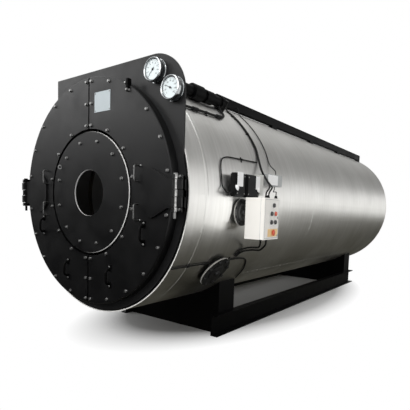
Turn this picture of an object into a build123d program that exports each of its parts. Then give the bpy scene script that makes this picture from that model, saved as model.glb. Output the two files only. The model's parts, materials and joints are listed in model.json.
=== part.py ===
"""Horizontal fire-tube boiler: a clad shell on a channel base, with two half-ring smoke box doors."""

import os
from math import acos, ceil, cos, degrees, radians, sin, sqrt, tan

from build123d import *

# Driving dimensions in millimetres. X is to the right, Y runs from front to rear, Z is up.
# The origin is the centre of the anchor bolts, on the floor.

# Shell and cladding
CLAD_R = 970.0
CLAD_T = 3.0
BODY_LENGTH = 5630.0
UNDER_CLEAR = 300.0
FIRST_COURSE = 210.0
COURSE_LENGTH = 1004.0
COURSE_COUNT = 6
COURSE_GAP = 1.0
SEAT_GAP = 0.3

# Furnace and smoke box
FURNACE_R = 430.0
FURNACE_LENGTH = 4600.0
SMOKE_DEPTH = 260.0
TUBE_PLATE_T = 25.0
COLLAR_T = 18.0
COLLAR_GAP = 20.0

# Front plate: a disc with a raised corner for the gauges
PLATE_STEP = 20.0
PLATE_T = 12.0
PLATE_RAISE = 17.0
PLATE_SIDE_CUT = 32.0
PLATE_LEFT = 536.0
PLATE_CORNER_R = 295.0

# Burner plate
BURNER_LIP = 18.0
BURNER_T = 12.0
BURNER_BORE_R = 183.0

# Smoke box doors
PLATE_RIM = 58.0
DOOR_LAP = 62.0
DOOR_T = 75.0
DOOR_CHAMFER = 6.0
DOOR_RING_GAP = 14.0
DOOR_SEAM = 14.0
DOOR_SEAT = 0.5

# Door hinges
HINGE_SIDE = 33.0
HINGE_OUT = 83.0
PIN_R = 10.0
PIN_TAIL = 44.0
PIN_HEAD_R = 16.0
PIN_HEAD_T = 8.0
PIN_PLAY = 0.3
KNUCKLE_R = 20.0
KNUCKLE_LOW = 26.0
KNUCKLE_HIGH = 90.0
LUG_SPACE = 3.0
LUG_END_H = 30.0
LUG_REACH = 14.0
LEAF_T = 14.0
LEAF_W = 46.0
STRAP_T = 14.0
STRAP_NECK_H = 200.0
STRAP_NECK_L = 65.0
STRAP_PAD_IN = 84.0
STRAP_PAD_H = 340.0
STRAP_ROUND_SHARE = 0.8
HINGE_TAIL = 60.0

# Door handles: bright bars beside the burner plate, black bows on the lower half
BAR_SIDES = 8
STEEL_HANDLE_IN = 72.0
STEEL_HANDLE_Z = 137.0
STEEL_HANDLE_H = 112.0
STEEL_HANDLE_OUT = 45.0
STEEL_HANDLE_R = 6.0
STEEL_HANDLE_BEND = 14.0
BOW_ANGLES = (-24.5, -67.2)
BOW_H = 112.0
BOW_OUT = 40.0
BOW_R = 9.0
BOW_BEND = 30.0
BOW_FOOT_W = 30.0
BOW_FOOT_H = 50.0
BOW_FOOT_T = 6.0

# Gauges, placed from the centre of the front plate's rounded corner
GAUGE_PLACES = {"gauge_upper": (40.0, 171.0), "gauge_lower": (205.0, 26.0)}
GAUGE_R = 82.0
GAUGE_DEPTH = 55.0
GAUGE_CASE_R = 76.0
GAUGE_BEZEL_T = 16.0
GAUGE_LIP = 9.0
GAUGE_RECESS = 9.0
DIAL_T = 2.0

# Base frame: channel rails with their flanges outward
RAIL_FRONT = 860.0
RAIL_REAR = 700.0
RAIL_X = 575.0
RAIL_H = 200.0
RAIL_FLANGE = 75.0
RAIL_WEB = 9.0
RAIL_FLANGE_T = 11.5
ANCHOR_R = 11.0
ANCHOR_END = 185.0

# Saddles
SADDLE_LAP = 17.0
SADDLE_W = 260.0
SADDLE_PLATE = 14.0
SADDLE_IN_FRONT = 95.0
SADDLE_IN_REAR = 50.0

# Rear end with its flanged flue outlet
REAR_T = 30.0
REAR_STEP = 30.0
FLUE_R = 200.0
FLUE_WALL = 6.0
FLUE_LENGTH = 150.0
FLUE_Z = 420.0
FLUE_FLANGE_W = 55.0
FLUE_FLANGE_T = 10.0
FLUE_BOLT_R = 7.0
FLUE_BOLTS = 8

# Top beam along the right shoulder
BEAM_W = 50.0
BEAM_H = 84.0
BEAM_RIGHT = 500.0
BEAM_LIFT = 4.0
BEAM_START = 940.0
BEAM_REAR_IN = 210.0
BEAM_FOOT_L = 120.0
BEAM_FOOT_COUNT = 5
BEAM_CABLE_TURN = 3.0

# Pipe from the front plate to a nozzle on the shoulder of the shell
PIPE_R = 42.0
PIPE_ANGLE = 54.0
PIPE_CLEAR = 16.0
PIPE_LENGTH = 860.0
PIPE_JOINTS = ((430.0, 120.0, 62.0), (595.0, 100.0, 54.0), (812.0, 36.0, 54.0))
NOZZLE_R = 50.0

# Control box on the right side
BOX_Y = 594.0
BOX_W = 246.0
BOX_D = 171.0
BOX_H = 320.0
BOX_STANDOFF = 85.0
BOX_TOP = 2.0
BOX_ROUND = 8.0
BUTTON_R = 15.0
BUTTON_OUT = 16.0
BUTTON_PITCH = 36.0
BUTTON_ROWS = (-55.0, -120.0, -186.0)
STOP_R = 22.0
STOP_OUT = 26.0
STOP_ROW = -268.0
STAY_T = 40.0
STAY_H = 70.0
STAY_INSET = 6.0
STAY_BASES = (-230.0, -80.0)

# Pressure switches above the control box
SWITCH_Y = 418.0
SWITCH_W = 200.0
SWITCH_GAP = 20.0
SWITCH_D = 50.0
SWITCH_H = 180.0
SWITCH_OUT = 65.0
SWITCH_BASE = 5.0
SWITCH_ROUND = 10.0

# Boxes on the cladding: distance behind the front plate, width, base, height, reach
RELAY_CASE = (865.0, 60.0, 30.0, 170.0, 55.0)
JUNCTION_BOX = (985.0, 255.0, 120.0, 100.0, 70.0)

# Inspection port behind the control box, and the handhole low on the shell
PORT_Y = 655.0
PORT_Z = -115.0
PORT_NECK_R = 80.0
PORT_FLANGE_R = 108.0
PORT_FLANGE_T = 14.0
PORT_OUT = 25.0
HANDHOLE_Y = 590.0
HANDHOLE_ANGLE = -37.5
HANDHOLE_NECK_R = 80.0
HANDHOLE_FLANGE_R = 150.0
HANDHOLE_FLANGE_T = 20.0
HANDHOLE_OUT = 40.0

# Cables and conduit, clipped to the cladding
CABLE_SIDES = 8
CABLE_STEP = 8.0
CONDUIT_R = 10.0
CONTROL_CABLE_R = 6.0
CONTROL_CABLE_PITCH = 16.0
SENSOR_CABLE_R = 4.0
SWITCH_TUBE_R = 5.0
TAIL_CABLE_R = 8.0
CABLE_CLEAR = 3.0
CORNER_SHARE = 0.45

# Derived sizes and places
AXIS_Z = CLAD_R + UNDER_CLEAR
RAIL_LENGTH = BODY_LENGTH - RAIL_FRONT - RAIL_REAR
PLATE_Y = -(RAIL_FRONT + RAIL_LENGTH / 2)
PLATE_BACK = PLATE_Y + PLATE_T
PLATE_R = CLAD_R - PLATE_STEP
PLATE_TOP = PLATE_R + PLATE_RAISE
PLATE_RIGHT = PLATE_R - PLATE_SIDE_CUT
VESSEL_R = CLAD_R - CLAD_T - SEAT_GAP
DOOR_R = PLATE_R - PLATE_RIM
SMOKE_R = DOOR_R - DOOR_LAP
SMOKE_BACK = PLATE_Y + SMOKE_DEPTH
BODY_FRONT = SMOKE_BACK + TUBE_PLATE_T
BODY_END = PLATE_Y + BODY_LENGTH - REAR_T
REAR_FACE = BODY_END + REAR_T
COLLAR_R = FURNACE_R + COLLAR_GAP + COLLAR_T
BURNER_R = COLLAR_R + BURNER_LIP
DOOR_INNER_R = BURNER_R + DOOR_RING_GAP
DOOR_BACK = PLATE_Y - DOOR_SEAT
DOOR_FRONT = DOOR_BACK - DOOR_T
HINGE_X = DOOR_R + HINGE_SIDE
HINGE_Y = PLATE_Y - HINGE_OUT
SADDLE_HALF = RAIL_X + SADDLE_LAP
FRONT_SADDLE_Y = PLATE_Y + RAIL_FRONT + SADDLE_IN_FRONT
REAR_SADDLE_Y = PLATE_Y + RAIL_FRONT + RAIL_LENGTH - SADDLE_IN_REAR - SADDLE_W
BEAM_LEFT = BEAM_RIGHT - BEAM_W
BEAM_Z = AXIS_Z + sqrt(CLAD_R**2 - BEAM_LEFT**2) + BEAM_LIFT
BEAM_FRONT = PLATE_Y + BEAM_START
PIPE_RADIUS = CLAD_R + PIPE_R + PIPE_CLEAR
PIPE_X = PIPE_RADIUS * cos(radians(PIPE_ANGLE))
PIPE_Z = AXIS_Z + PIPE_RADIUS * sin(radians(PIPE_ANGLE))
BOX_X = CLAD_R + BOX_STANDOFF
SIDES = {"right": 1.0, "left": -1.0}


def ring_y(outer, inner, y_low, y_high):
    """Tube about the boiler axis between two stations along Y."""
    length = y_high - y_low
    disc = Circle(outer) - Circle(inner) if inner else Circle(outer)
    plane = Plane((0, y_low, AXIS_Z), x_dir=(1, 0, 0), z_dir=(0, 1, 0))
    return extrude(plane * disc, length)


def front_sketch_plane(y):
    """Plane facing forward, with its own x to the right and y up, at the boiler axis."""
    return Plane((0, y, AXIS_Z), x_dir=(1, 0, 0), z_dir=(0, -1, 0))


def block(x_low, x_high, y_low, y_high, z_low, z_high):
    """Axis-aligned block between two corners."""
    centre = Vector((x_low + x_high) / 2, (y_low + y_high) / 2, (z_low + z_high) / 2)
    return Pos(centre) * Box(x_high - x_low, y_high - y_low, z_high - z_low)


def post(x, y, z_low, z_high, radius):
    """Upright cylinder."""
    return Pos(x, y, (z_low + z_high) / 2) * Cylinder(radius, z_high - z_low)


def mirror_side(shape, side):
    """Shape for the right side, or its mirror image for the left."""
    return shape if side > 0 else mirror(shape, about=Plane.YZ)


def channel(length):
    """Channel section along Y, its web at x = 0 and its flanges towards +X, from y = 0."""
    outline = block(0, RAIL_FLANGE, 0, length, 0, RAIL_H)
    hollow = block(RAIL_WEB, RAIL_FLANGE + 1, -1, length + 1, RAIL_FLANGE_T, RAIL_H - RAIL_FLANGE_T)
    return outline - hollow


def make_rail(side):
    """Base rail with two anchor holes in its bottom flange."""
    rail = Pos(RAIL_X, -RAIL_LENGTH / 2, 0) * channel(RAIL_LENGTH)
    hole_x = RAIL_X + (RAIL_WEB + RAIL_FLANGE) / 2
    for end in (-1, 1):
        rail -= post(hole_x, end * (RAIL_LENGTH / 2 - ANCHOR_END), -1, RAIL_FLANGE_T + 1, ANCHOR_R)
    return mirror_side(rail, side)


def make_cross(saddle_y):
    """Two cross channels between the rails, under the front and rear faces of a saddle."""
    member = Rot(0, 0, 90) * channel(2 * RAIL_X)
    front = Pos(RAIL_X, saddle_y, 0) * member
    rear = Pos(-RAIL_X, saddle_y + SADDLE_W, 0) * Rot(0, 0, 180) * member
    return Compound([front, rear])


def make_saddle(saddle_y):
    """Welded saddle: end plates, side plates and a middle rib, cut to the shell."""
    y_low = saddle_y
    y_high = y_low + SADDLE_W
    outside = block(-SADDLE_HALF, SADDLE_HALF, y_low, y_high, RAIL_H, AXIS_Z)
    inside_x = SADDLE_HALF - SADDLE_PLATE
    for x_low, x_high in ((-inside_x, -SADDLE_PLATE / 2), (SADDLE_PLATE / 2, inside_x)):
        outside -= block(x_low, x_high, y_low + SADDLE_PLATE, y_high - SADDLE_PLATE, RAIL_H - 1, AXIS_Z + 1)
    return outside - ring_y(CLAD_R + SEAT_GAP, 0, y_low - 1, y_high + 1)


def make_body():
    """Insulated vessel with the furnace bored into its front."""
    furnace = ring_y(FURNACE_R, 0, BODY_FRONT - 1, BODY_FRONT + FURNACE_LENGTH)
    return ring_y(VESSEL_R, 0, BODY_FRONT, BODY_END) - furnace


def make_course(index):
    """One course of cladding sheet. The first is cut short and the last runs to the rear."""
    starts = [PLATE_BACK] + [PLATE_Y + FIRST_COURSE + COURSE_LENGTH * k for k in range(COURSE_COUNT - 1)]
    ends = starts[1:] + [BODY_END]
    return ring_y(CLAD_R, CLAD_R - CLAD_T, starts[index] + COURSE_GAP / 2, ends[index] - COURSE_GAP / 2)


def front_outline():
    """Front plate outline: a disc joined to a square corner that is rounded at the top right."""
    corner = Pos((PLATE_RIGHT - PLATE_LEFT) / 2, PLATE_TOP / 2) * Rectangle(PLATE_RIGHT + PLATE_LEFT, PLATE_TOP)
    top_right = corner.vertices().sort_by(Axis.X)[-2:].sort_by(Axis.Y)[-1]
    return Circle(PLATE_R) + fillet(top_right, PLATE_CORNER_R)


def make_front_plate():
    """Front plate round the smoke box opening."""
    return extrude(front_sketch_plane(PLATE_Y) * (front_outline() - Circle(SMOKE_R)), -PLATE_T)


def make_burner_plate():
    """Round plate that closes the furnace, with the bore for the burner head."""
    return ring_y(BURNER_R, BURNER_BORE_R, DOOR_FRONT - BURNER_T, DOOR_FRONT)


def make_burner_collar():
    """Tube from the tube plate to the burner plate."""
    return ring_y(COLLAR_R, COLLAR_R - COLLAR_T, DOOR_FRONT, SMOKE_BACK)


def make_door(side):
    """Half-ring door casing with a chamfered outer edge."""
    ring = ring_y(DOOR_R, DOOR_INNER_R, DOOR_FRONT, DOOR_BACK)
    rim = ring.edges().filter_by(GeomType.CIRCLE).group_by(Axis.Y)[0].sort_by(SortBy.RADIUS)[-1]
    ring = chamfer(rim, DOOR_CHAMFER)
    reach = DOOR_R + 1
    keep = block(DOOR_SEAM / 2, reach, DOOR_FRONT - 1, DOOR_BACK + 1, AXIS_Z - reach, AXIS_Z + reach)
    return mirror_side(ring & keep, side)


def make_strap(side):
    """Hinge strap: a rounded pad on the door face, a neck, and two tailed knuckles on the pin."""
    pad_top = STRAP_PAD_H / 2
    neck_top = STRAP_NECK_H / 2
    pad_x = DOOR_INNER_R + STRAP_PAD_IN
    neck_x = HINGE_X - STRAP_NECK_L
    flare_x = (pad_x + neck_x) / 2
    with BuildSketch(front_sketch_plane(DOOR_FRONT)) as outline:
        with BuildLine():
            Polyline(
                (HINGE_X, neck_top),
                (neck_x, neck_top),
                (flare_x, pad_top),
                (pad_x, pad_top),
                (pad_x, -pad_top),
                (flare_x, -pad_top),
                (neck_x, -neck_top),
                (HINGE_X, -neck_top),
                close=True,
            )
        make_face()
        fillet(outline.vertices().group_by(Axis.X)[0], STRAP_ROUND_SHARE * min(flare_x - pad_x, pad_top))
    strap = extrude(outline.sketch, STRAP_T)
    pin_space = post(HINGE_X, HINGE_Y, AXIS_Z - neck_top - 1, AXIS_Z + neck_top + 1, KNUCKLE_R + LUG_SPACE)
    strap -= pin_space
    for low, high in ((KNUCKLE_LOW, KNUCKLE_HIGH), (-KNUCKLE_HIGH, -KNUCKLE_LOW)):
        strap += post(HINGE_X, HINGE_Y, AXIS_Z + low, AXIS_Z + high, KNUCKLE_R)
        tongue_x = HINGE_X - KNUCKLE_R - LUG_SPACE - 1
        tail_x = HINGE_X + HINGE_TAIL
        strap += block(tongue_x, tail_x, DOOR_FRONT - STRAP_T, DOOR_FRONT, AXIS_Z + low, AXIS_Z + high)
    strap -= post(HINGE_X, HINGE_Y, AXIS_Z - STRAP_NECK_H, AXIS_Z + STRAP_NECK_H, PIN_R + PIN_PLAY)
    return mirror_side(strap, side)


def make_bracket(side):
    """Hinge bracket: a leaf on the front plate and three lugs that hold the pin."""
    lug_top = KNUCKLE_HIGH + LUG_SPACE
    middle = KNUCKLE_LOW - LUG_SPACE
    spans = ((lug_top, lug_top + LUG_END_H), (-middle, middle), (-lug_top - LUG_END_H, -lug_top))
    leaf_low = HINGE_X - KNUCKLE_R
    reach = lug_top + LUG_END_H
    leaf = block(leaf_low, leaf_low + LEAF_W, PLATE_Y - LEAF_T, PLATE_Y, AXIS_Z - reach, AXIS_Z + reach)
    for low, high in spans:
        leaf += post(HINGE_X, HINGE_Y, AXIS_Z + low, AXIS_Z + high, KNUCKLE_R)
        leaf += block(HINGE_X - LUG_REACH, HINGE_X + HINGE_TAIL, HINGE_Y, PLATE_Y, AXIS_Z + low, AXIS_Z + high)
    leaf -= post(HINGE_X, HINGE_Y, AXIS_Z - reach - 1, AXIS_Z + reach + 1, PIN_R)
    return mirror_side(leaf, side)


def make_pin(side):
    """Hinge pin with a flat head on top."""
    top = AXIS_Z + KNUCKLE_HIGH + LUG_SPACE + LUG_END_H
    bottom = 2 * AXIS_Z - top - PIN_TAIL
    pin = post(HINGE_X, HINGE_Y, bottom, top, PIN_R)
    pin += post(HINGE_X, HINGE_Y, top, top + PIN_HEAD_T, PIN_HEAD_R)
    return mirror_side(pin, side)


def bent_handle(x, z, height, out, radius, bend):
    """Round bar bent into an upright handle that stands out from the door face."""
    y_tip = DOOR_FRONT - out
    points = [
        (x, DOOR_FRONT, AXIS_Z + z + height / 2),
        (x, y_tip, AXIS_Z + z + height / 2),
        (x, y_tip, AXIS_Z + z - height / 2),
        (x, DOOR_FRONT, AXIS_Z + z - height / 2),
    ]
    path = FilletPolyline(*points, radius=bend)
    profile = Plane(origin=points[0], z_dir=(0, -1, 0)) * RegularPolygon(radius, BAR_SIDES)
    return sweep(profile, path)


def make_steel_handles(side):
    """Two bright handles beside the burner plate."""
    handle_x = DOOR_INNER_R + STEEL_HANDLE_IN
    bars = [
        bent_handle(handle_x, z, STEEL_HANDLE_H, STEEL_HANDLE_OUT, STEEL_HANDLE_R, STEEL_HANDLE_BEND)
        for z in (STEEL_HANDLE_Z, -STEEL_HANDLE_Z)
    ]
    return Compound([mirror_side(bar, side) for bar in bars])


def make_bow_handles(side):
    """Two black bow handles with long feet on the lower half of a door."""
    middle_r = (DOOR_R + DOOR_INNER_R) / 2
    bows = []
    for angle in BOW_ANGLES:
        x = middle_r * cos(radians(angle))
        z = middle_r * sin(radians(angle))
        bow = bent_handle(x, z, BOW_H, BOW_OUT, BOW_R, BOW_BEND)
        for end in (-1, 1):
            half = BOW_FOOT_W / 2
            near = AXIS_Z + z + end * (BOW_H / 2 - half)
            low, high = sorted((near, near + end * BOW_FOOT_H))
            bow += block(x - half, x + half, DOOR_FRONT - BOW_FOOT_T, DOOR_FRONT, low, high)
        bows.append(mirror_side(bow, side))
    return Compound(bows)


def gauge_centre(offset):
    """Place of a gauge on the front plate, from the centre of the rounded corner."""
    x = PLATE_RIGHT - PLATE_CORNER_R + offset[0]
    z = AXIS_Z + PLATE_TOP - PLATE_CORNER_R + offset[1]
    return x, z


def make_gauge(offset):
    """Gauge case with a wider bezel and a recess for the dial."""
    x, z = gauge_centre(offset)
    plane = Plane((x, PLATE_Y, z), x_dir=(1, 0, 0), z_dir=(0, -1, 0))
    case = extrude(plane * Circle(GAUGE_CASE_R), GAUGE_DEPTH)
    case += extrude(plane.offset(GAUGE_DEPTH - GAUGE_BEZEL_T) * Circle(GAUGE_R), GAUGE_BEZEL_T)
    case -= extrude(plane.offset(GAUGE_DEPTH - GAUGE_RECESS) * Circle(GAUGE_R - GAUGE_LIP), GAUGE_RECESS + 1)
    return case


def make_dials():
    """Dial discs at the bottom of the two gauge recesses."""
    discs = []
    for offset in GAUGE_PLACES.values():
        x, z = gauge_centre(offset)
        plane = Plane((x, PLATE_Y - GAUGE_DEPTH + GAUGE_RECESS, z), z_dir=(0, -1, 0))
        discs.append(extrude(plane * Circle(GAUGE_R - GAUGE_LIP - SEAT_GAP), DIAL_T))
    return Compound(discs)


def make_beam():
    """Box-section beam on short feet along the shell."""
    y_high = PLATE_Y + BODY_LENGTH - BEAM_REAR_IN
    beam = block(BEAM_LEFT, BEAM_RIGHT, BEAM_FRONT, y_high, BEAM_Z, BEAM_Z + BEAM_H)
    pitch = (y_high - BEAM_FRONT - BEAM_FOOT_L) / (BEAM_FOOT_COUNT - 1)
    feet_low = AXIS_Z + sqrt(CLAD_R**2 - BEAM_RIGHT**2) - BEAM_LIFT
    for index in range(BEAM_FOOT_COUNT):
        foot_y = BEAM_FRONT + index * pitch
        beam += block(BEAM_LEFT, BEAM_RIGHT, foot_y, foot_y + BEAM_FOOT_L, feet_low, BEAM_Z)
    return beam - ring_y(CLAD_R + SEAT_GAP, 0, BEAM_FRONT - 1, y_high + 1)


def make_top_pipe():
    """Pipe behind the front plate with a valve body and joints, ending in a nozzle on the shell."""
    plane = Plane((PIPE_X, PLATE_BACK, PIPE_Z), x_dir=(1, 0, 0), z_dir=(0, 1, 0))
    pipe = extrude(plane * Circle(PIPE_R), PIPE_LENGTH)
    for start, length, radius in PIPE_JOINTS:
        pipe += extrude(plane.offset(start) * Circle(radius), length)
    outward = Vector(PIPE_X, 0, PIPE_Z - AXIS_Z).normalized()
    end = Vector(PIPE_X, PLATE_BACK + PIPE_LENGTH, PIPE_Z)
    nozzle = Plane(end + outward * PIPE_R, x_dir=(0, 1, 0), z_dir=-outward) * Circle(NOZZLE_R)
    pipe += extrude(nozzle, CLAD_R / 2)
    return pipe - ring_y(CLAD_R + SEAT_GAP, 0, PLATE_BACK, end.Y + NOZZLE_R + 1)


def make_rear_cover():
    """Flat rear cover with the opening for the flue."""
    cover = ring_y(CLAD_R - REAR_STEP, 0, BODY_END, REAR_FACE)
    flue = Plane((0, BODY_END - 1, AXIS_Z + FLUE_Z), z_dir=(0, 1, 0)) * Circle(FLUE_R - FLUE_WALL)
    return cover - extrude(flue, REAR_T + 2)


def make_flue():
    """Round flue outlet on the rear cover, with a bolted flange at its end."""
    plane = Plane((0, REAR_FACE, AXIS_Z + FLUE_Z), z_dir=(0, 1, 0))
    bore = Circle(FLUE_R - FLUE_WALL)
    flange = Circle(FLUE_R + FLUE_FLANGE_W) - bore
    flange -= PolarLocations(FLUE_R + FLUE_FLANGE_W / 2, FLUE_BOLTS) * Circle(FLUE_BOLT_R)
    tube = extrude(plane * (Circle(FLUE_R) - bore), FLUE_LENGTH)
    return tube + extrude(plane.offset(FLUE_LENGTH - FLUE_FLANGE_T) * flange, FLUE_FLANGE_T)


def make_control_box():
    """Closed control box with rounded upright edges."""
    y_low = PLATE_Y + BOX_Y
    z_high = AXIS_Z + BOX_TOP
    box = block(BOX_X, BOX_X + BOX_D, y_low, y_low + BOX_W, z_high - BOX_H, z_high)
    return fillet(box.edges().filter_by(Axis.Z), BOX_ROUND)


def make_buttons():
    """Buttons in three rows and the stop switch below them, on the outer face of the box."""
    face_x = BOX_X + BOX_D
    middle_y = PLATE_Y + BOX_Y + BOX_W / 2
    studs = []
    for row, z in enumerate(BUTTON_ROWS):
        places = (0.0,) if row == 0 else (-BUTTON_PITCH / 2, BUTTON_PITCH / 2)
        for offset in places:
            plane = Plane((face_x, middle_y + offset, AXIS_Z + BOX_TOP + z), z_dir=(1, 0, 0))
            studs.append(extrude(plane * Circle(BUTTON_R), BUTTON_OUT))
    plane = Plane((face_x, middle_y, AXIS_Z + BOX_TOP + STOP_ROW), z_dir=(1, 0, 0))
    studs.append(extrude(plane * Circle(STOP_R), STOP_OUT))
    return Compound(studs)


def make_box_stays():
    """Two stays that carry the control box off the cladding, behind the inspection port."""
    y_high = PLATE_Y + BOX_Y + BOX_W - STAY_INSET
    y_low = y_high - STAY_T
    shell = ring_y(CLAD_R + SEAT_GAP, 0, y_low - 1, y_high + 1)
    stays = []
    for base in STAY_BASES:
        stays.append(block(CLAD_R / 2, BOX_X, y_low, y_high, AXIS_Z + base, AXIS_Z + base + STAY_H) - shell)
    return Compound(stays)


def make_switches():
    """Two pressure switch housings on short stays off the cladding."""
    z_low = AXIS_Z + SWITCH_BASE
    x_high = CLAD_R + SWITCH_OUT
    switches = []
    for index in range(2):
        y_low = PLATE_Y + SWITCH_Y + index * (SWITCH_W + SWITCH_GAP)
        housing = block(x_high - SWITCH_D, x_high, y_low, y_low + SWITCH_W, z_low, z_low + SWITCH_H)
        housing = fillet(housing.edges().filter_by(Axis.X), SWITCH_ROUND)
        middle = y_low + SWITCH_W / 2
        stay = block(
            CLAD_R - STAY_T,
            x_high - SWITCH_D,
            middle - STAY_T / 2,
            middle + STAY_T / 2,
            z_low,
            z_low + SWITCH_H / 2,
        )
        switches.append(housing + (stay - ring_y(CLAD_R + SEAT_GAP, 0, y_low, y_low + SWITCH_W)))
    return Compound(switches)


def shell_box(start, width, base, height, out):
    """Small case with its back fitted to the curve of the cladding."""
    y_low = PLATE_Y + start
    z_low = AXIS_Z + base
    x_low = sqrt(CLAD_R**2 - (base + height) ** 2) - STAY_T
    box = block(x_low, CLAD_R + out, y_low, y_low + width, z_low, z_low + height)
    return box - ring_y(CLAD_R + SEAT_GAP, 0, y_low - 1, y_low + width + 1)


def shell_port(angle, height, y, out, neck_r, flange_r, flange_t):
    """Flanged stub on the shell: its axis leaves the cladding at an angle, or level at a height."""
    direction = Vector(cos(radians(angle)), 0, sin(radians(angle)))
    base = Vector(0, PLATE_Y + y, AXIS_Z + height)
    tip = base + direction * (CLAD_R + out)
    plane = Plane(tip, x_dir=(0, 1, 0), z_dir=-direction)
    stub = extrude(plane * Circle(neck_r), CLAD_R / 2)
    stub += extrude(plane * Circle(flange_r), flange_t)
    return stub - ring_y(CLAD_R + SEAT_GAP, 0, PLATE_Y + y - flange_r - 1, PLATE_Y + y + flange_r + 1)


def shell_point(angle, y, lift):
    """Point above the cladding at an angle round the shell and a distance behind the front plate."""
    radius = CLAD_R + lift
    return Vector(radius * cos(radians(angle)), PLATE_Y + y, AXIS_Z + radius * sin(radians(angle)))


def shell_route(stops, lift):
    """Points of a cable that follows the cladding through stops of angle and distance."""
    route = [shell_point(*stops[0], lift)]
    for (angle, y), (next_angle, next_y) in zip(stops, stops[1:]):
        steps = max(1, ceil(abs(next_angle - angle) / CABLE_STEP))
        for step in range(1, steps + 1):
            share = step / steps
            route.append(shell_point(angle + share * (next_angle - angle), y + share * (next_y - y), lift))
    return route


def cable(points, radius):
    """Cable along straight runs joined by arcs that are as large as the runs allow."""
    points = [Vector(*point) for point in points]
    bends = []
    for before, corner, after in zip(points, points[1:], points[2:]):
        turn = (corner - before).get_angle(after - corner)
        run = min((corner - before).length, (after - corner).length)
        bends.append(CORNER_SHARE * run / tan(radians(turn / 2)))
    path = FilletPolyline(*points, radius=bends)
    profile = Plane(points[0], z_dir=points[1] - points[0]) * RegularPolygon(radius, CABLE_SIDES)
    return sweep(profile, path)


def make_gauge_conduit():
    """Conduit from the front plate along the shoulder, turning up to the pipe."""
    lift = CONDUIT_R + CABLE_CLEAR
    stops = [(41.2, PLATE_T + SEAT_GAP), (42.0, 640.0), (43.2, 745.0), (46.0, 790.0), (49.0, 800.0)]
    route = shell_route(stops, lift)
    centre = Vector(PIPE_X, route[-1].Y, PIPE_Z)
    route.append(centre + (route[-1] - centre).normalized() * (PIPE_R + CABLE_CLEAR))
    return cable(route, CONDUIT_R)


def beam_outlet(y):
    """First two points of a cable that leaves the side of the beam."""
    z = BEAM_Z + BEAM_H / 4
    return [(BEAM_RIGHT + SEAT_GAP, PLATE_Y + y, z), (BEAM_RIGHT + 26.0, PLATE_Y + y, z)]


def make_control_cables():
    """Pair of cables from the beam to the control box, and the thin cables of the junction box."""
    box_top = AXIS_Z + BOX_TOP + SEAT_GAP
    box_y = PLATE_Y + BOX_Y
    beam_foot = degrees(acos(BEAM_RIGHT / CLAD_R)) - BEAM_CABLE_TURN
    cables = []
    for offset in (-CONTROL_CABLE_PITCH / 2, CONTROL_CABLE_PITCH / 2):
        stops = [
            (beam_foot, 1022.0 + offset),
            (43.0, 1024.0 + offset),
            (27.0, 1040.0 + offset),
            (21.0, 1015.0 + offset),
        ]
        x = BOX_X + BOX_D - 46.0 + offset
        drop = [
            (CLAD_R + 16.0, box_y + 362.0 + offset, AXIS_Z + 235.0),
            (CLAD_R + 76.0, box_y + 346.0 + offset, AXIS_Z + 160.0),
            (CLAD_R + 140.0, box_y + 280.0 + offset, AXIS_Z + 120.0),
            (x, box_y + 180.0 + offset, AXIS_Z + 88.0),
            (x, box_y + 120.0 + offset, AXIS_Z + 44.0),
            (x, box_y + 120.0 + offset, box_top),
        ]
        lift = CONTROL_CABLE_R + CABLE_CLEAR
        route = beam_outlet(1040.0 + offset) + shell_route(stops, lift) + drop
        cables.append(cable(route, CONTROL_CABLE_R))
    start, width, base, height, out = JUNCTION_BOX
    far_y = PLATE_Y + start + width
    lift = SENSOR_CABLE_R + CABLE_CLEAR
    stops = [(beam_foot, 1245.0), (45.0, 1225.0), (28.0, 1218.0), (19.0, 1206.0)]
    x = CLAD_R + out / 3
    top = AXIS_Z + base + height
    entry = [(x, far_y - 40.0, top + 40.0), (x, far_y - 40.0, top + SEAT_GAP)]
    cables.append(cable(beam_outlet(1262.0) + shell_route(stops, lift) + entry, SENSOR_CABLE_R))
    low = AXIS_Z + base
    end_x = BOX_X + BOX_D - 24.0
    drop = [
        (x, far_y - 50.0, low - SEAT_GAP),
        (x, far_y - 50.0, low - 24.0),
        (CLAD_R + 60.0, box_y + 500.0, low - 50.0),
        (CLAD_R + 150.0, box_y + 370.0, low - 56.0),
        (end_x - 10.0, box_y + BOX_W, low - 66.0),
        (end_x, box_y + BOX_W - 24.0, low - 84.0),
        (end_x, box_y + BOX_W - 24.0, box_top),
    ]
    cables.append(cable(drop, SENSOR_CABLE_R))
    return Compound(cables)


def make_switch_tube():
    """Thin tube that loops from a tapping on the cladding down to the first pressure switch."""
    lift = SWITCH_TUBE_R + CABLE_CLEAR
    stops = [(18.8, 972.0), (18.4, 500.0), (16.8, 420.0), (13.0, 390.0), (8.0, 386.0), (4.5, 386.0)]
    x = CLAD_R + SWITCH_OUT - SWITCH_D / 2
    z = AXIS_Z + SWITCH_BASE
    end = [(x - 10.0, PLATE_Y + 384.0, z + 46.0), (x, PLATE_Y + 392.0, z + 26.0)]
    end.append((x, PLATE_Y + SWITCH_Y - SEAT_GAP, z + 26.0))
    return cable(shell_route(stops, lift) + end, SWITCH_TUBE_R)


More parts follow.
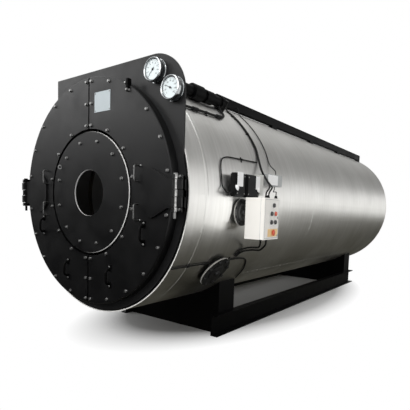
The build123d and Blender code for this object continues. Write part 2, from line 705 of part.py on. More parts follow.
def make_lower_cables():
    """Cable along the lower flank to the front saddle, and the tails below the control box."""
    lift = CONTROL_CABLE_R + CABLE_CLEAR
    stops = [(-32.6, PLATE_T + SEAT_GAP), (-32.0, 900.0), (-33.4, 1052.0), (-41.0, 1140.0), (-50.0, 1172.0)]
    cables = [cable(shell_route(stops, lift), CONTROL_CABLE_R)]
    box_y = PLATE_Y + BOX_Y
    z = AXIS_Z + BOX_TOP - BOX_H
    lift = TAIL_CABLE_R + CABLE_CLEAR
    for index in range(2):
        spread = 3.0 * TAIL_CABLE_R * index
        x = BOX_X + 60.0 + spread
        y = box_y + 160.0 + 2.0 * spread
        points = [
            (x, y, z - SEAT_GAP),
            (x, y, z - 44.0 - spread / 3),
            (BOX_X + 14.0, box_y + 226.0 + spread, z - 84.0 - spread),
            (CLAD_R - 20.0, box_y + 300.0 + spread, z - 94.0 - spread),
        ]
        stops = [(-25.8 - 1.6 * index, 900.0), (-27.0 - 1.6 * index, 820.0 + spread), (-30.2, 796.0 + spread)]
        cables.append(cable(points + shell_route(stops, lift), TAIL_CABLE_R))
    return Compound(cables)


parts = {
    "front_saddle": make_saddle(FRONT_SADDLE_Y),
    "rear_saddle": make_saddle(REAR_SADDLE_Y),
    "base_cross_front": make_cross(FRONT_SADDLE_Y),
    "base_cross_rear": make_cross(REAR_SADDLE_Y),
    "boiler_body": make_body(),
    "smoke_box_wall": ring_y(VESSEL_R, SMOKE_R, PLATE_BACK, SMOKE_BACK),
    "tube_plate": ring_y(VESSEL_R, FURNACE_R, SMOKE_BACK, BODY_FRONT),
    "rear_cover": make_rear_cover(),
    "flue_outlet": make_flue(),
    "front_plate": make_front_plate(),
    "burner_plate": make_burner_plate(),
    "burner_collar": make_burner_collar(),
    "gauge_dials": make_dials(),
    "top_beam": make_beam(),
    "control_box": make_control_box(),
    "control_buttons": make_buttons(),
    "control_box_stays": make_box_stays(),
    "top_pipe": make_top_pipe(),
    "pressure_switches": make_switches(),
    "relay_case": shell_box(*RELAY_CASE),
    "junction_box": shell_box(*JUNCTION_BOX),
    "inspection_port": shell_port(
        0.0, PORT_Z, PORT_Y, PORT_OUT, PORT_NECK_R, PORT_FLANGE_R, PORT_FLANGE_T
    ),
    "handhole": shell_port(
        HANDHOLE_ANGLE, 0.0, HANDHOLE_Y, HANDHOLE_OUT, HANDHOLE_NECK_R, HANDHOLE_FLANGE_R, HANDHOLE_FLANGE_T
    ),
    "gauge_conduit": make_gauge_conduit(),
    "control_cables": make_control_cables(),
    "switch_tube": make_switch_tube(),
    "lower_cables": make_lower_cables(),
}
for course in range(COURSE_COUNT):
    parts[f"cladding_{course + 1}"] = make_course(course)
for name, place in GAUGE_PLACES.items():
    parts[name] = make_gauge(place)
for name, sign in SIDES.items():
    parts[f"base_rail_{name}"] = make_rail(sign)
    parts[f"hinge_bracket_{name}"] = make_bracket(sign)
    parts[f"hinge_pin_{name}"] = make_pin(sign)
    parts[f"{name}_door"] = make_door(sign)
    parts[f"{name}_hinge_strap"] = make_strap(sign)
    parts[f"{name}_steel_handles"] = make_steel_handles(sign)
    parts[f"{name}_bow_handles"] = make_bow_handles(sign)

os.makedirs("parts", exist_ok=True)
for name, shape in parts.items():
    export_step(shape, f"parts/{name}.step")
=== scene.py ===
"""Looks of the industrial boiler. Lengths are metres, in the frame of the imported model."""

import json
from math import cos, pi, radians, sin

import bmesh
import bpy
from mathutils import Matrix, Vector


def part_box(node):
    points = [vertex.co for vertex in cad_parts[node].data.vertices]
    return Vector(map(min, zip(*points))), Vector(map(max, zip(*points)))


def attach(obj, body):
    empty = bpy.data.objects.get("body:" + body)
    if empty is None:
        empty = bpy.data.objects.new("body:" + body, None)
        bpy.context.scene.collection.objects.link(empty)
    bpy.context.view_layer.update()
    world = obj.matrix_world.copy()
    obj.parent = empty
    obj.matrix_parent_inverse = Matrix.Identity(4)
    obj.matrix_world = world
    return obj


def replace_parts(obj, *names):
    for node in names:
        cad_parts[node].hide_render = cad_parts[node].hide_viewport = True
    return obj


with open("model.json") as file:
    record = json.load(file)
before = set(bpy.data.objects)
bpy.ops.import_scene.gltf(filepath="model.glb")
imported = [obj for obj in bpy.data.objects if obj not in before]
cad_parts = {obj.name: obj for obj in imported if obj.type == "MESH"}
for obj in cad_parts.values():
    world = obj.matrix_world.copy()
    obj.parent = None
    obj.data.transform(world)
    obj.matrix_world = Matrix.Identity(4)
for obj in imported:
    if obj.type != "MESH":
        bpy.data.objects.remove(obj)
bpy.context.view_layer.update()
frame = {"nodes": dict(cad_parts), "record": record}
nodes = frame["nodes"]

# Camera, at the viewing angle of the photograph
CAMERA_PLACE = (2.6628, -4.9554, 1.1724)
CAMERA_AZIMUTH = 36.78
CAMERA_TILT = 5.20
CAMERA_ROLL = 1.864
CAMERA_LENS = 34.76
CAMERA_SHIFT = 0.0976
CAMERA_REACH = 200.0

# Places read from the frame
PLATE_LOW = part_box("front_plate")[0]
CLAD_LOW, CLAD_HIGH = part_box("cladding_2")
DOOR_LOW, DOOR_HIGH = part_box("right_door")
BOX_LOW, BOX_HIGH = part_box("control_box")
SWITCH_LOW, SWITCH_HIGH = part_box("pressure_switches")
PORT_LOW, PORT_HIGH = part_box("inspection_port")
PIN_LOW, PIN_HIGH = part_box("hinge_pin_right")
REAR_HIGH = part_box("rear_cover")[1]
AXIS_Z = (CLAD_LOW.z + CLAD_HIGH.z) / 2
CLAD_R = (CLAD_HIGH.z - CLAD_LOW.z) / 2
PLATE_Y = PLATE_LOW.y
PLATE_R = AXIS_Z - PLATE_LOW.z
DOOR_Y = DOOR_LOW.y
DOOR_R = DOOR_HIGH.x
BURNER_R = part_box("burner_plate")[1].x
TUBE_PLATE_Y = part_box("tube_plate")[0].y
PORT_CENTRE = Vector((PORT_HIGH.x, (PORT_LOW.y + PORT_HIGH.y) / 2, (PORT_LOW.z + PORT_HIGH.z) / 2))
PORT_R = (PORT_HIGH.z - PORT_LOW.z) / 2
PIN_X = (PIN_LOW.x + PIN_HIGH.x) / 2
PIN_Y = (PIN_LOW.y + PIN_HIGH.y) / 2

# Directions, and the sides of round forms
FORWARD = Vector((0.0, -1.0, 0.0))
BACKWARD = Vector((0.0, 1.0, 0.0))
RIGHTWARD = Vector((1.0, 0.0, 0.0))
UPWARD = Vector((0.0, 0.0, 1.0))
SHARP_ANGLE = 35.0
HEX_SIDES = 6
RIVET_SIDES = 8
FOOT_SIDES = 10
SCREW_SIDES = 12
TUBE_SIDES = 16
ROUND_SIDES = 20
EYE_SIDES = 24
SLEEVE_SIDES = 32
CAP_SIDES = 40
GAUGE_SIDES = 64
SHELL_SIDES = 128

# Colours of worn and stained surfaces, of painted highlights, and of stains mixed with painted shade
# Pale of bare edges, also the colour of the painted highlights on the bevel and the sleeves
HIGHLIGHT_AND_BARE_EDGE = (0.90, 0.89, 0.87)
BEVEL_PAINT = (0.004, 0.004, 0.004)
SLEEVE_PAINT = (0.006, 0.006, 0.006)
SHEET_DULL = (0.65, 0.643, 0.617)
SHEET_BRIGHT = (0.86, 0.852, 0.832)
SHEET_STAIN_AND_SHADE = (0.273, 0.26, 0.215)
SOOT_BLACK = (0.018, 0.016, 0.015)
SCALE_BROWN = (0.10, 0.078, 0.060)

# Burner plate, let into the opening of the doors, with its lifting eye
FACE_Y = DOOR_Y - 0.002
FACE_R = BURNER_R - 0.006
FACE_T = 0.012
BORE_R = 0.183
EDGE_W = 0.0045
EDGE_SKIN = 0.0004
BORE_LIP = 0.001
BORE_LAP = 0.0005
BORE_BACK = 0.003
EYE_PLACE = Vector((-0.378, FACE_Y, AXIS_Z + 0.232))
EYE_STUD = ((0.006, 0.0), (0.006, 0.010), (0.004, 0.013))
EYE_RING_SHIFT = Vector((0.004, -0.010, -0.016))
EYE_RING_AIM = (0.9, -0.4, 0.0)
EYE_RING_R = (0.011, 0.017)
EYE_RING_HALF = 0.003

# Bolts. A chamfer is a share of the radius and a share of the height
BOLT_R = 0.0115
BOLT_H = 0.0095
BOLT_CHAMFER = (0.84, 0.82)
WASHER_R = 0.0132
WASHER_T = 0.003
WASHER_CHAMFER = (0.93, 0.75)
RING_BOLTS = 8
BURNER_BOLT_R = 0.408
BURNER_BOLTS = 12
BURNER_BOLT_TURN = 0.4
DOOR_INNER_BOLT_R = 0.520
DOOR_INNER_ANGLES = (12.9, 38.6, 64.3)
DOOR_OUTER_BOLT_R = 0.860
DOOR_OUTER_ANGLES = (10.0, 26.0, 42.0, 58.0, 74.0)
SEAM_BOLT_X = 0.030
SEAM_BOLT_Z = (0.525, 0.690, 0.858)
REAR_BOLTS = 24
REAR_BOLT_INSET = 0.040

# Handles, clamp and bare plate on the doors. Turned forms are pairs of radius and height
BOW_ANGLES = (-24.5, -67.2)
BOW_PITCH_R = 0.696
BOW_STUD_Z = 0.076
BOW_STUD = ((0.011, 0.0), (0.011, 0.003), (0.008, 0.008), (0.003, 0.010))
HANDLE_STUD_X = 0.592
HANDLE_FEET = (0.193, 0.081, -0.081, -0.193)
HANDLE_STUD = ((0.007, 0.0), (0.0065, 0.004), (0.003, 0.006))
CLAMP_ANGLE = 59.5
CLAMP_INSET = 0.004
CLAMP_BAR = ((-0.013, -0.016, -0.046), (0.013, 0.020, 0.046), 0.004)
CLAMP_TAB = ((-0.030, -0.010, 0.006), (-0.010, 0.0, 0.030), 0.003)
CLAMP_BOLTS = ((-0.020, -0.010, 0.018), (0.0, -0.016, -0.034))
CLAMP_BOLT_SCALE = 0.7
BLANK_CENTRE = (0.164, 0.690)
BLANK_SIZE = (0.185, 0.150)
BLANK_T = 0.002
BLANK_BEVEL = 0.0008
BLANK_RIVET_INSET = 0.010
BLANK_RIVET = ((0.005, 0.0), (0.0045, 0.0015), (0.002, 0.0028))

# Hinges
LEAF_BOLT_X = 0.040
LEAF_BOLT_Z = 0.108
LEAF_BOLT_SCALE = 0.75
LUG_TAIL = 0.005
SLEEVE_R = 0.0205
SLEEVE_BORE_R = 0.012
SLEEVE_GAP = 0.001
# Direction of the painted highlight stripe on the right hinge's sleeves
HIGHLIGHT_SIDE = (0.88, -0.47)
DOOR_SLEEVES = ((0.026, 0.090), (-0.090, -0.026))
LUG_SLEEVES = ((0.093, 0.123), (-0.023, 0.023), (-0.123, -0.093))

# Gauges: node, angle of the pointer, step of the numerals
GAUGES = (("gauge_upper", 225.0, 2), ("gauge_lower", 153.0, 20))
GAUGE_DEPTH = 0.055
DIAL_RECESS = 0.0065
FLANGE_BACK = DIAL_RECESS - GAUGE_DEPTH
BEZEL_R = 0.083
BEZEL = (
    (0.0700, 0.0), (0.0712, 0.0070), (0.0750, 0.0098), (0.0795, 0.0085), (BEZEL_R, 0.004),
    (BEZEL_R, -0.014),
)
FLANGE = ((0.0755, 0.0), (0.084, 0.0), (0.084, 0.006), (0.0815, 0.008), (0.0755, 0.008))
DIAL_SHADOW_RING = ((0.0672, 0.0006), (0.0674, 0.0012), (0.0699, 0.0016), (0.0702, 0.0004))
DIAL_R = 0.064
DIAL_START = 225.0
DIAL_SWEEP = 270.0
DIAL_TICKS = 40
DIAL_MAJOR = 5
MAJOR_TICK = (0.010, 0.0011)
MINOR_TICK = (0.006, 0.0006)
INK_LIFT = 0.0004
NUMERAL_R = DIAL_R - 0.020
NUMERAL_SIZE = 0.014
NEEDLE = ((-0.018, -0.003), (0.050, -0.0008), (0.050, 0.0008), (-0.018, 0.003))
NEEDLE_LIFT = 0.004
NEEDLE_HUB = ((0.007, 0.0005), (0.007, 0.005), (0.004, 0.007))

# Cladding
COURSE_COUNT = 6
LAP_W = 0.036
LAP_T = 0.0012
LAP_TAPER = 0.005
LAP_SINK = 0.0005
END_W = 0.008
END_SINK = 0.001
END_PROUD = 0.0012
SEAL_PROUD = 0.0006
FRONT_LAP_Y = 0.194
LAP_LINE_W = 0.005
LAP_LINE_LIFT = LAP_T + 0.0006
LAP_LINE_ANGLES = range(-16, -165, -2)
LONG_SEAM_ANGLE = -47.0
LONG_SEAM_Y = 1.214
LONG_RIVET_STEP = 0.09
LONG_RIVET = ((0.007, 0.0), (0.006, 0.0024), (0.0028, 0.0036))

# Control box. Buttons have a look, a shift from the middle and a height from the top of the box
BUTTONS = {
    "button": ((0.0, -0.055), (-0.032, -0.120), (-0.032, -0.186), (0.032, -0.186)),
    "button_red": ((0.032, -0.120),),
}
BUTTON_Y = (BOX_LOW.y + BOX_HIGH.y) / 2 + 0.022
BUTTON_R = 0.0165
BUTTON_CAP = ((BUTTON_R, 0.0), (BUTTON_R, 0.011), (0.0145, 0.013), (0.005, 0.0138))
COLLAR_R = 0.0190
COLLAR_H = 0.005
STOP_PLACE = Vector((BOX_HIGH.x, BUTTON_Y, BOX_HIGH.z - 0.268))
STOP_STEM_R = 0.012
STOP_COLLAR_R = 0.016
STOP_COLLAR_SPAN = (0.002, 0.006)
STOP_CAP = (
    (STOP_STEM_R, 0.0), (STOP_STEM_R, 0.006), (0.022, 0.007), (0.0235, 0.011), (0.018, 0.015),
    (0.006, 0.016),
)
STOP_PLATE_HALF = (0.080, 0.030)
STOP_PLATE_T = 0.0025
STOP_PLATE_BEVEL = 0.001
LID_T = 0.034
LID_INSET = 0.010
LID_LINE_W = 0.003
SEAM_W = 0.002
LINE_SINK = 0.001
LINE_PROUD = 0.0006
LINE_BEVEL = 0.0003
LOCK_DROPS = (0.150, 0.290)
LOCK_INSET = 0.026
LOCK = ((0.009, 0.0), (0.009, 0.003), (0.006, 0.005))

# Glands of the box: place across, distance behind the plate, up or down
BOX_GLANDS = ((1.172, 0.714, 1), (1.188, 0.714, 1), (1.202, 0.816, 1), (1.115, 0.754, -1), (1.139, 0.802, -1))
GLAND = ((0.013, 0.0), (0.013, 0.008), (0.011, 0.010), (0.010, 0.020), (0.0085, 0.022))

# Pressure switches
SWITCH_GAP = 0.020
SWITCH_D = 0.050
HOUSING_BEVEL = 0.008
FOOT_HALF = 0.020
FOOT_SPAN = (0.004, 0.090)
FOOT_SINK = 0.012
FOOT_LAP = 0.004
FOOT_BEVEL = 0.002
COVER_T = 0.006
COVER_FRONT = 0.010
COVER_MARGIN = 0.012
COVER_BEVEL = 0.004
SCREW_FRONT = 0.022
SCREW_MARGIN = 0.024
COVER_SCREW = ((0.006, 0.0), (0.0055, 0.002), (0.002, 0.003))
NOZZLE_Y = (0.014, 0.170)
NOZZLE_Z = 0.076
NOZZLE_AIM = (0.35, 0.0, -1.0)
NOZZLE = ((0.012, -0.008), (0.014, 0.006), (0.013, 0.016), (0.007, 0.027), (0.002, 0.034))
UNION_L = 0.055
UNION_RISE = 0.026
UNION = (
    (0.006, -0.004), (0.009, 0.0), (0.009, 0.016), (0.006, 0.018), (0.006, UNION_L - 0.016),
    (0.010, UNION_L - 0.014), (0.010, UNION_L + 0.002),
)

# Blank tags: node, distance behind the plate, height over the axis, width, height
TAGS = (
    ("pressure_switches", 0.490, 0.082, 0.082, 0.108),
    ("pressure_switches", 0.770, 0.072, 0.066, 0.108),
    ("junction_box", 0.978, 0.128, 0.176, 0.084),
)
TAG_T = 0.003
TAG_BEVEL = 0.001

# Inspection port and handhole
PORT_BOLT_R = 0.092
PORT_BOLT_SCALE = 0.8
PORT_CAP = (
    (0.070, 0.0), (0.070, 0.008), (0.062, 0.014), (0.048, 0.010), (0.044, 0.004), (0.020, 0.006),
    (0.016, 0.024), (0.008, 0.027),
)
HANDHOLE_ANGLE = -37.5
HANDHOLE_Y = 0.590
HANDHOLE_OUT = 0.040
HANDHOLE_R = 0.150
HANDHOLE_BOLT_R = 0.126
HANDHOLE_BOLT_SCALE = 1.2
HANDHOLE_CAP = ((0.080, 0.0), (0.080, 0.006), (0.070, 0.012), (0.030, 0.014), (0.026, 0.030), (0.018, 0.034))
RIM_IN = 0.003
RIM_OUT = 0.0008
RIM_TOP = -0.002
PORT_RIM_LOW = -0.010
HANDHOLE_RIM_LOW = -0.012

# Top pipe and cables. A clip has an angle, a distance behind the plate, a cable radius and its run
PIPE_ANGLE = 54.0
PIPE_LIFT = 0.058
PIPE_BOLT_RINGS = ((0.607, 0.048), (0.824, 0.048))
PIPE_BOLT_SCALE = 0.55
CABLE_CLEAR = 0.003
CLIPS = (
    (41.4, 0.12, 0.010, "along"),
    (41.8, 0.48, 0.010, "along"),
    (50.0, 1.016, 0.006, "round"),
    (36.0, 1.024, 0.006, "round"),
    (-32.5, 0.20, 0.006, "along"),
    (-32.2, 0.74, 0.006, "along"),
    (18.6, 0.72, 0.005, "along"),
)
CLIP_GAP = 0.0004
CLIP_T = 0.003
CLIP_HALF = 0.007
CLIP_FOOT_OUT = 0.010
CLIP_FOOT = ((0.008, 0.0), (0.008, 0.003), (0.005, 0.006))
COUPLINGS = ((41.5, 0.335, 0.034), (42.1, 0.655, 0.034))
COUPLING_LIFT = 0.013
COUPLING_R = 0.017
COUPLING_END_R = 0.012
COUPLING_TAPER = 0.006

# Smoke tubes
TUBE_ROWS = (0.545, 0.640, 0.735)
TUBE_PITCH = 0.092
TUBE_R = 0.032
TUBE_BORE_R = 0.026
TUBE_PROUD = 0.010
TUBE_MOUTH = ((0.0262, 0.0), (0.0262, 0.001), (0.020, 0.0012))

# Studio: fill light, floor, cards that show only in reflections, and soft boxes
WORLD_FILL = 0.36
FLOOR_REACH = 40.0
FLOOR_GREY = (0.70, 0.70, 0.70, 1.0)
FLOOR_OVAL_SHIFT = (0.10, 0.0675, 0.0)
FLOOR_OVAL_SCALE = (1.0, 0.45, 1.0)
FLOOR_FADE = (0.96, 1.28)
CARD_Z = 0.004
CEILING_Z = 5.0
FAR_FLOOR = (
    (-1.5, -3.4), (2.5, -3.4), (2.5, 0.6), (4.6, 3.6), (10.8, 12.9), (14.0, 17.7), (14.0, 34.0),
    (-14.0, 34.0), (-14.0, -3.4),
)
FRONT_FLOOR = ((-16.0, -16.0), (2.2, -16.0), (2.2, -3.4), (-16.0, -3.4))
BRIGHT_FLOOR = (
    (2.5, -0.3), (4.6, 2.1), (10.8, 10.0), (14.0, 14.1), (14.0, 17.7), (10.8, 12.9), (4.6, 3.6), (2.5, 0.6),
)
NEAR_FLOOR = ((2.5, -3.5), (9.0, -3.5), (9.0, 7.7), (4.6, 2.1), (2.5, -0.3))
CEILING = ((1.3, -0.9), (6.8, -0.9), (6.8, 30.0), (1.3, 30.0))
CEILING_LEFT = ((-14.0, -0.9), (1.3, -0.9), (1.3, 30.0), (-14.0, 30.0))
LEVEL_CARDS = (
    ("floor_card", FAR_FLOOR, CARD_Z, (0.080, 0.078, 0.066)),
    ("front_floor_card", FRONT_FLOOR, CARD_Z, (0.011, 0.011, 0.011)),
    ("bright_floor_card", BRIGHT_FLOOR, CARD_Z, (1.5, 1.5, 1.48)),
    ("near_floor_card", NEAR_FLOOR, CARD_Z, (0.95, 0.95, 0.94)),
    ("ceiling_card", CEILING, CEILING_Z, (0.215, 0.215, 0.211)),
    ("ceiling_left_card", CEILING_LEFT, CEILING_Z, (0.37, 0.37, 0.364)),
)
# Glowing card just before the control box's front face: a painted reflection of the box in the cladding
BOX_CARD_Y = BOX_LOW.y - 0.004
BOX_CARD_START = (1.01, BOX_CARD_Y)
BOX_CARD_END = (BOX_HIGH.x + 0.01, BOX_CARD_Y)
BOX_CARD_Z = (BOX_LOW.z, BOX_HIGH.z + 0.01)
# Glowing card just before the inspection port: a painted bright reflection in the cladding where the port
# would show dark
PORT_CARD_Y = PORT_LOW.y - 0.003
PORT_CARD_START = (CLAD_R - 0.005, PORT_CARD_Y)
PORT_CARD_END = (PORT_HIGH.x, PORT_CARD_Y)
PORT_CARD_Z = (PORT_LOW.z + 0.02, PORT_HIGH.z - 0.02)
HORIZON_Y = 16.0
HORIZON_Z = (0.2, 2.8)
UPRIGHT_CARDS = (
    ("front_left_card", (-20.0, -8.6), (-1.0, -9.4), (0.0, 2.9), (0.018, 0.018, 0.018)),
    ("box_card", BOX_CARD_START, BOX_CARD_END, BOX_CARD_Z, (1.42, 1.42, 1.4)),
    ("port_card", PORT_CARD_START, PORT_CARD_END, PORT_CARD_Z, (1.15, 1.15, 1.13)),
    ("horizon_card", (1.0, HORIZON_Y), (11.5, HORIZON_Y), HORIZON_Z, (1.12, 1.12, 1.1)),
    ("bright_horizon_card", (11.5, HORIZON_Y), (18.0, HORIZON_Y), HORIZON_Z, (1.7, 1.7, 1.68)),
)
SOFT_BOXES = (
    ("front_soft_box", (1.0, -9.0, 4.9), (0.0, -2.0, 1.3), (6.0, 4.0), 350.0),
    ("left_soft_box", (-7.5, -8.0, 5.4), (-0.2, -2.9, 1.6), (6.0, 3.4), 140.0),
    ("top_soft_box", (1.5, 0.0, 8.0), (0.0, 0.0, 1.0), (6.0, 6.0), 420.0),
)


def link(owner, source, target):
    """Wire one socket to another."""
    owner.node_tree.links.new(source, target)


def add_object(name, data):
    """Object in the scene from its mesh, curve, lamp or camera."""
    made = bpy.data.objects.new(name, data)
    bpy.context.scene.collection.objects.link(made)
    return made


def add_node(owner, kind, **values):
    """Shader node with its settings, and its inputs wired or stored."""
    made = owner.node_tree.nodes.new(kind)
    for key, value in values.items():
        if hasattr(made, key) and key not in made.inputs:
            setattr(made, key, value)
            continue
        numbered = key[0] == "i" and key[1:].isdigit()
        target = made.inputs[int(key[1:])] if numbered else made.inputs[key]
        if isinstance(value, bpy.types.NodeSocket):
            link(owner, value, target)
        else:
            target.default_value = value
    return made


def math_node(owner, operation, first, second):
    """Result of one sum on two values or sockets."""
    return add_node(owner, "ShaderNodeMath", operation=operation, i0=first, i1=second).outputs[0]


def ramp(mat, value, low, high, low_colour, high_colour):
    """Colour that runs from one to the other as a value goes from low to high."""
    made = add_node(mat, "ShaderNodeValToRGB", Fac=value)
    stops = made.color_ramp.elements
    for stop, position, colour in zip(stops, (low, high), (low_colour, high_colour)):
        stop.position = position
        stop.color = opaque(colour)
    return made.outputs["Color"]


def level(owner, value, low, high, to_low, to_high):
    """Value mapped from one range to another, held at the ends."""
    ends = {"From Min": low, "From Max": high, "To Min": to_low, "To Max": to_high}
    return add_node(owner, "ShaderNodeMapRange", Value=value, **ends).outputs["Result"]


def noise(mat, vector, scale, detail=4.0, roughness=0.55):
    """Noise value at a scale in features per metre."""
    made = add_node(mat, "ShaderNodeTexNoise", Vector=vector, Scale=scale, Detail=detail, Roughness=roughness)
    return made.outputs["Fac"]


def axes_of(mat, vector):
    """The three parts of a vector."""
    return add_node(mat, "ShaderNodeSeparateXYZ", Vector=vector).outputs


def stretched(mat, vector, scale, shift=(0.0, 0.0, 0.0)):
    """Coordinates stretched by a factor for each axis, and shifted."""
    return add_node(mat, "ShaderNodeMapping", Vector=vector, Location=shift, Scale=scale).outputs["Vector"]


def opaque(colour):
    """Colour with its alpha, or the socket that it comes from."""
    return colour if isinstance(colour, bpy.types.NodeSocket) else (*colour, 1.0)


def mix_colour(mat, factor, first, second):
    """Mix of two colours by a factor."""
    ends = {"i6": opaque(first), "i7": opaque(second)}
    return add_node(mat, "ShaderNodeMix", data_type="RGBA", i0=factor, **ends).outputs[2]


def new_material(name, metallic=0.0, specular=0.5):
    """Principled material, with its shader and its coordinates in the model's own frame."""
    mat = bpy.data.materials.new(name)
    mat.use_nodes = True
    shader = mat.node_tree.nodes["Principled BSDF"]
    shader.inputs["Metallic"].default_value = metallic
    shader.inputs["Specular IOR Level"].default_value = specular
    return mat, shader, add_node(mat, "ShaderNodeTexCoord").outputs["Object"]


def finish_material(mat, shader, colour, roughness):
    """Material with its colour and roughness wired to the shader."""
    link(mat, colour, shader.inputs["Base Color"])
    link(mat, roughness, shader.inputs["Roughness"])
    return mat


def bump(mat, shader, height, strength, distance):
    """Bump from a height value, in metres."""
    made = add_node(mat, "ShaderNodeBump", Height=height, Strength=strength, Distance=distance)
    link(mat, made.outputs["Normal"], shader.inputs["Normal"])


def cladding_material():
    """Brushed sheet: grain round the shell, long waves in the sheet, and patchy stains low down mixed with
    painted shade on the underside.
    """
    mat, shader, place = new_material("brushed_cladding", metallic=1.0)
    axes = axes_of(mat, place)
    height = math_node(mat, "SUBTRACT", axes["Z"], AXIS_Z)
    angle = math_node(mat, "ARCTAN2", height, axes["X"])
    unrolled = add_node(mat, "ShaderNodeCombineXYZ", X=angle, Y=axes["Y"]).outputs["Vector"]
    grain = noise(mat, stretched(mat, unrolled, (6.0, 420.0, 1.0)), 1.0, 3.0)
    streaks = noise(mat, stretched(mat, unrolled, (1.4, 34.0, 1.0)), 1.0)
    waves = noise(mat, stretched(mat, unrolled, (1.3, 2.4, 1.0)), 1.0, 1.0)
    clouds = noise(mat, place, 2.2, 5.0)
    wear_and_highlight = math_node(mat, "MULTIPLY", math_node(mat, "ADD", streaks, clouds), 0.5)
    clean = ramp(mat, wear_and_highlight, 0.30, 0.72, SHEET_DULL, SHEET_BRIGHT)
    # Darker towards the bottom: patchy stains mixed with painted shade on the underside
    low = level(mat, height, -0.75, -0.05, 1.0, 0.0)
    stain = math_node(mat, "MULTIPLY", low, level(mat, clouds, 0.30, 0.62, 0.25, 0.85))
    tint = mix_colour(mat, stain, clean, SHEET_STAIN_AND_SHADE)
    brushed = level(mat, grain, 0.3, 0.7, 0.27, 0.37)
    rough = math_node(mat, "ADD", brushed, math_node(mat, "MULTIPLY", streaks, 0.08))
    relief = math_node(mat, "ADD", waves, math_node(mat, "MULTIPLY", grain, 0.004))
    bump(mat, shader, relief, 0.5, 0.012)
    return finish_material(mat, shader, tint, rough)


def paint_material(name, colour, roughness, dust, gloss):
    """Sprayed paint with a fine orange-peel skin and thin dust."""
    mat, shader, place = new_material(name, specular=gloss)
    cloud = noise(mat, place, 5.0, 6.0)
    speck = noise(mat, place, 160.0, 2.0)
    lighter = tuple(min(1.0, channel * 1.6 + 0.004) for channel in colour)
    tint = mix_colour(mat, level(mat, cloud, 0.35, 0.75, 0.0, dust), colour, lighter)
    rough = level(mat, cloud, 0.3, 0.7, roughness - 0.06, roughness + 0.08)
    bump(mat, shader, math_node(mat, "ADD", speck, cloud), 0.25, 0.0006)
    return finish_material(mat, shader, tint, rough)


def highlight_look(mat, shader, place, wear_and_highlight, grain, patchy, paint):
    """Paint with a painted highlight where the mask is high, broken into patches."""
    cloud = level(mat, noise(mat, place, grain), 0.3, 0.7, patchy, 1.0)
    tint = mix_colour(mat, math_node(mat, "MULTIPLY", wear_and_highlight, cloud), paint, HIGHLIGHT_AND_BARE_EDGE)
    return finish_material(mat, shader, tint, level(mat, cloud, patchy - 0.05, 1.0, 0.5, 0.35))


def bevel_highlight_material():
    """Black bevel with a painted highlight that grows towards the right, broken into patches."""
    mat, shader, place = new_material("painted_bevel_highlight", specular=0.3)
    # Painted highlight: paler towards the right
    wear_and_highlight = level(mat, axes_of(mat, place)["X"], -0.05, 0.32, 0.02, 1.0)
    return highlight_look(mat, shader, place, wear_and_highlight, 26.0, 0.75, BEVEL_PAINT)


def sleeve_highlight_material():
    """Black-painted hinge sleeve with a painted highlight in a stripe along its outer side."""
    mat, shader, place = new_material("painted_sleeve_highlight", specular=0.3)
    axes = axes_of(mat, place)
    parts = []
    for axis, middle, share in (("X", PIN_X, HIGHLIGHT_SIDE[0]), ("Y", PIN_Y, HIGHLIGHT_SIDE[1])):
        offset = math_node(mat, "SUBTRACT", axes[axis], middle)
        parts.append(math_node(mat, "MULTIPLY", offset, share / SLEEVE_R))
    # Painted highlight: a pale stripe on the side facing that direction
    wear_and_highlight = level(mat, math_node(mat, "ADD", *parts), 0.87, 0.94, 0.0, 1.0)
    return highlight_look(mat, shader, place, wear_and_highlight, 60.0, 0.45, SLEEVE_PAINT)


def metal_material(name, colour, roughness, stain):
    """Bare metal with fine scratches and faint stains."""
    mat, shader, place = new_material(name, metallic=1.0)
    scratch = noise(mat, stretched(mat, place, (90.0, 90.0, 700.0)), 1.0, 2.0)
    cloud = noise(mat, place, 28.0)
    dark = tuple(channel * 0.55 for channel in colour)
    tint = mix_colour(mat, level(mat, cloud, 0.45, 0.75, 0.0, stain), colour, dark)
    rough = level(mat, scratch, 0.3, 0.7, roughness - 0.05, roughness + 0.1)
    bump(mat, shader, scratch, 0.15, 0.0002)
    return finish_material(mat, shader, tint, rough)


def plastic_material(name, colour, roughness, gloss):
    """Moulded plastic or rubber with a fine texture."""
    mat, shader, place = new_material(name, specular=gloss)
    fine = noise(mat, place, 900.0, 2.0)
    cloud = noise(mat, place, 14.0)
    lighter = tuple(min(1.0, channel * 1.25 + 0.006) for channel in colour)
    tint = mix_colour(mat, cloud, colour, lighter)
    rough = level(mat, cloud, 0.3, 0.7, roughness - 0.05, roughness + 0.06)
    bump(mat, shader, fine, 0.2, 0.0003)
    return finish_material(mat, shader, tint, rough)


def vessel_material():
    """Heat-stained plate inside the smoke box, with soot and scale."""
    mat, shader, place = new_material("sooted_plate", metallic=0.3, specular=0.3)
    cloud = noise(mat, place, 7.0, 8.0, 0.65)
    scale = noise(mat, place, 60.0)
    tint = ramp(mat, cloud, 0.35, 0.7, SOOT_BLACK, SCALE_BROWN)
    bump(mat, shader, scale, 0.4, 0.002)
    return finish_material(mat, shader, tint, level(mat, scale, 0.3, 0.7, 0.62, 0.85))


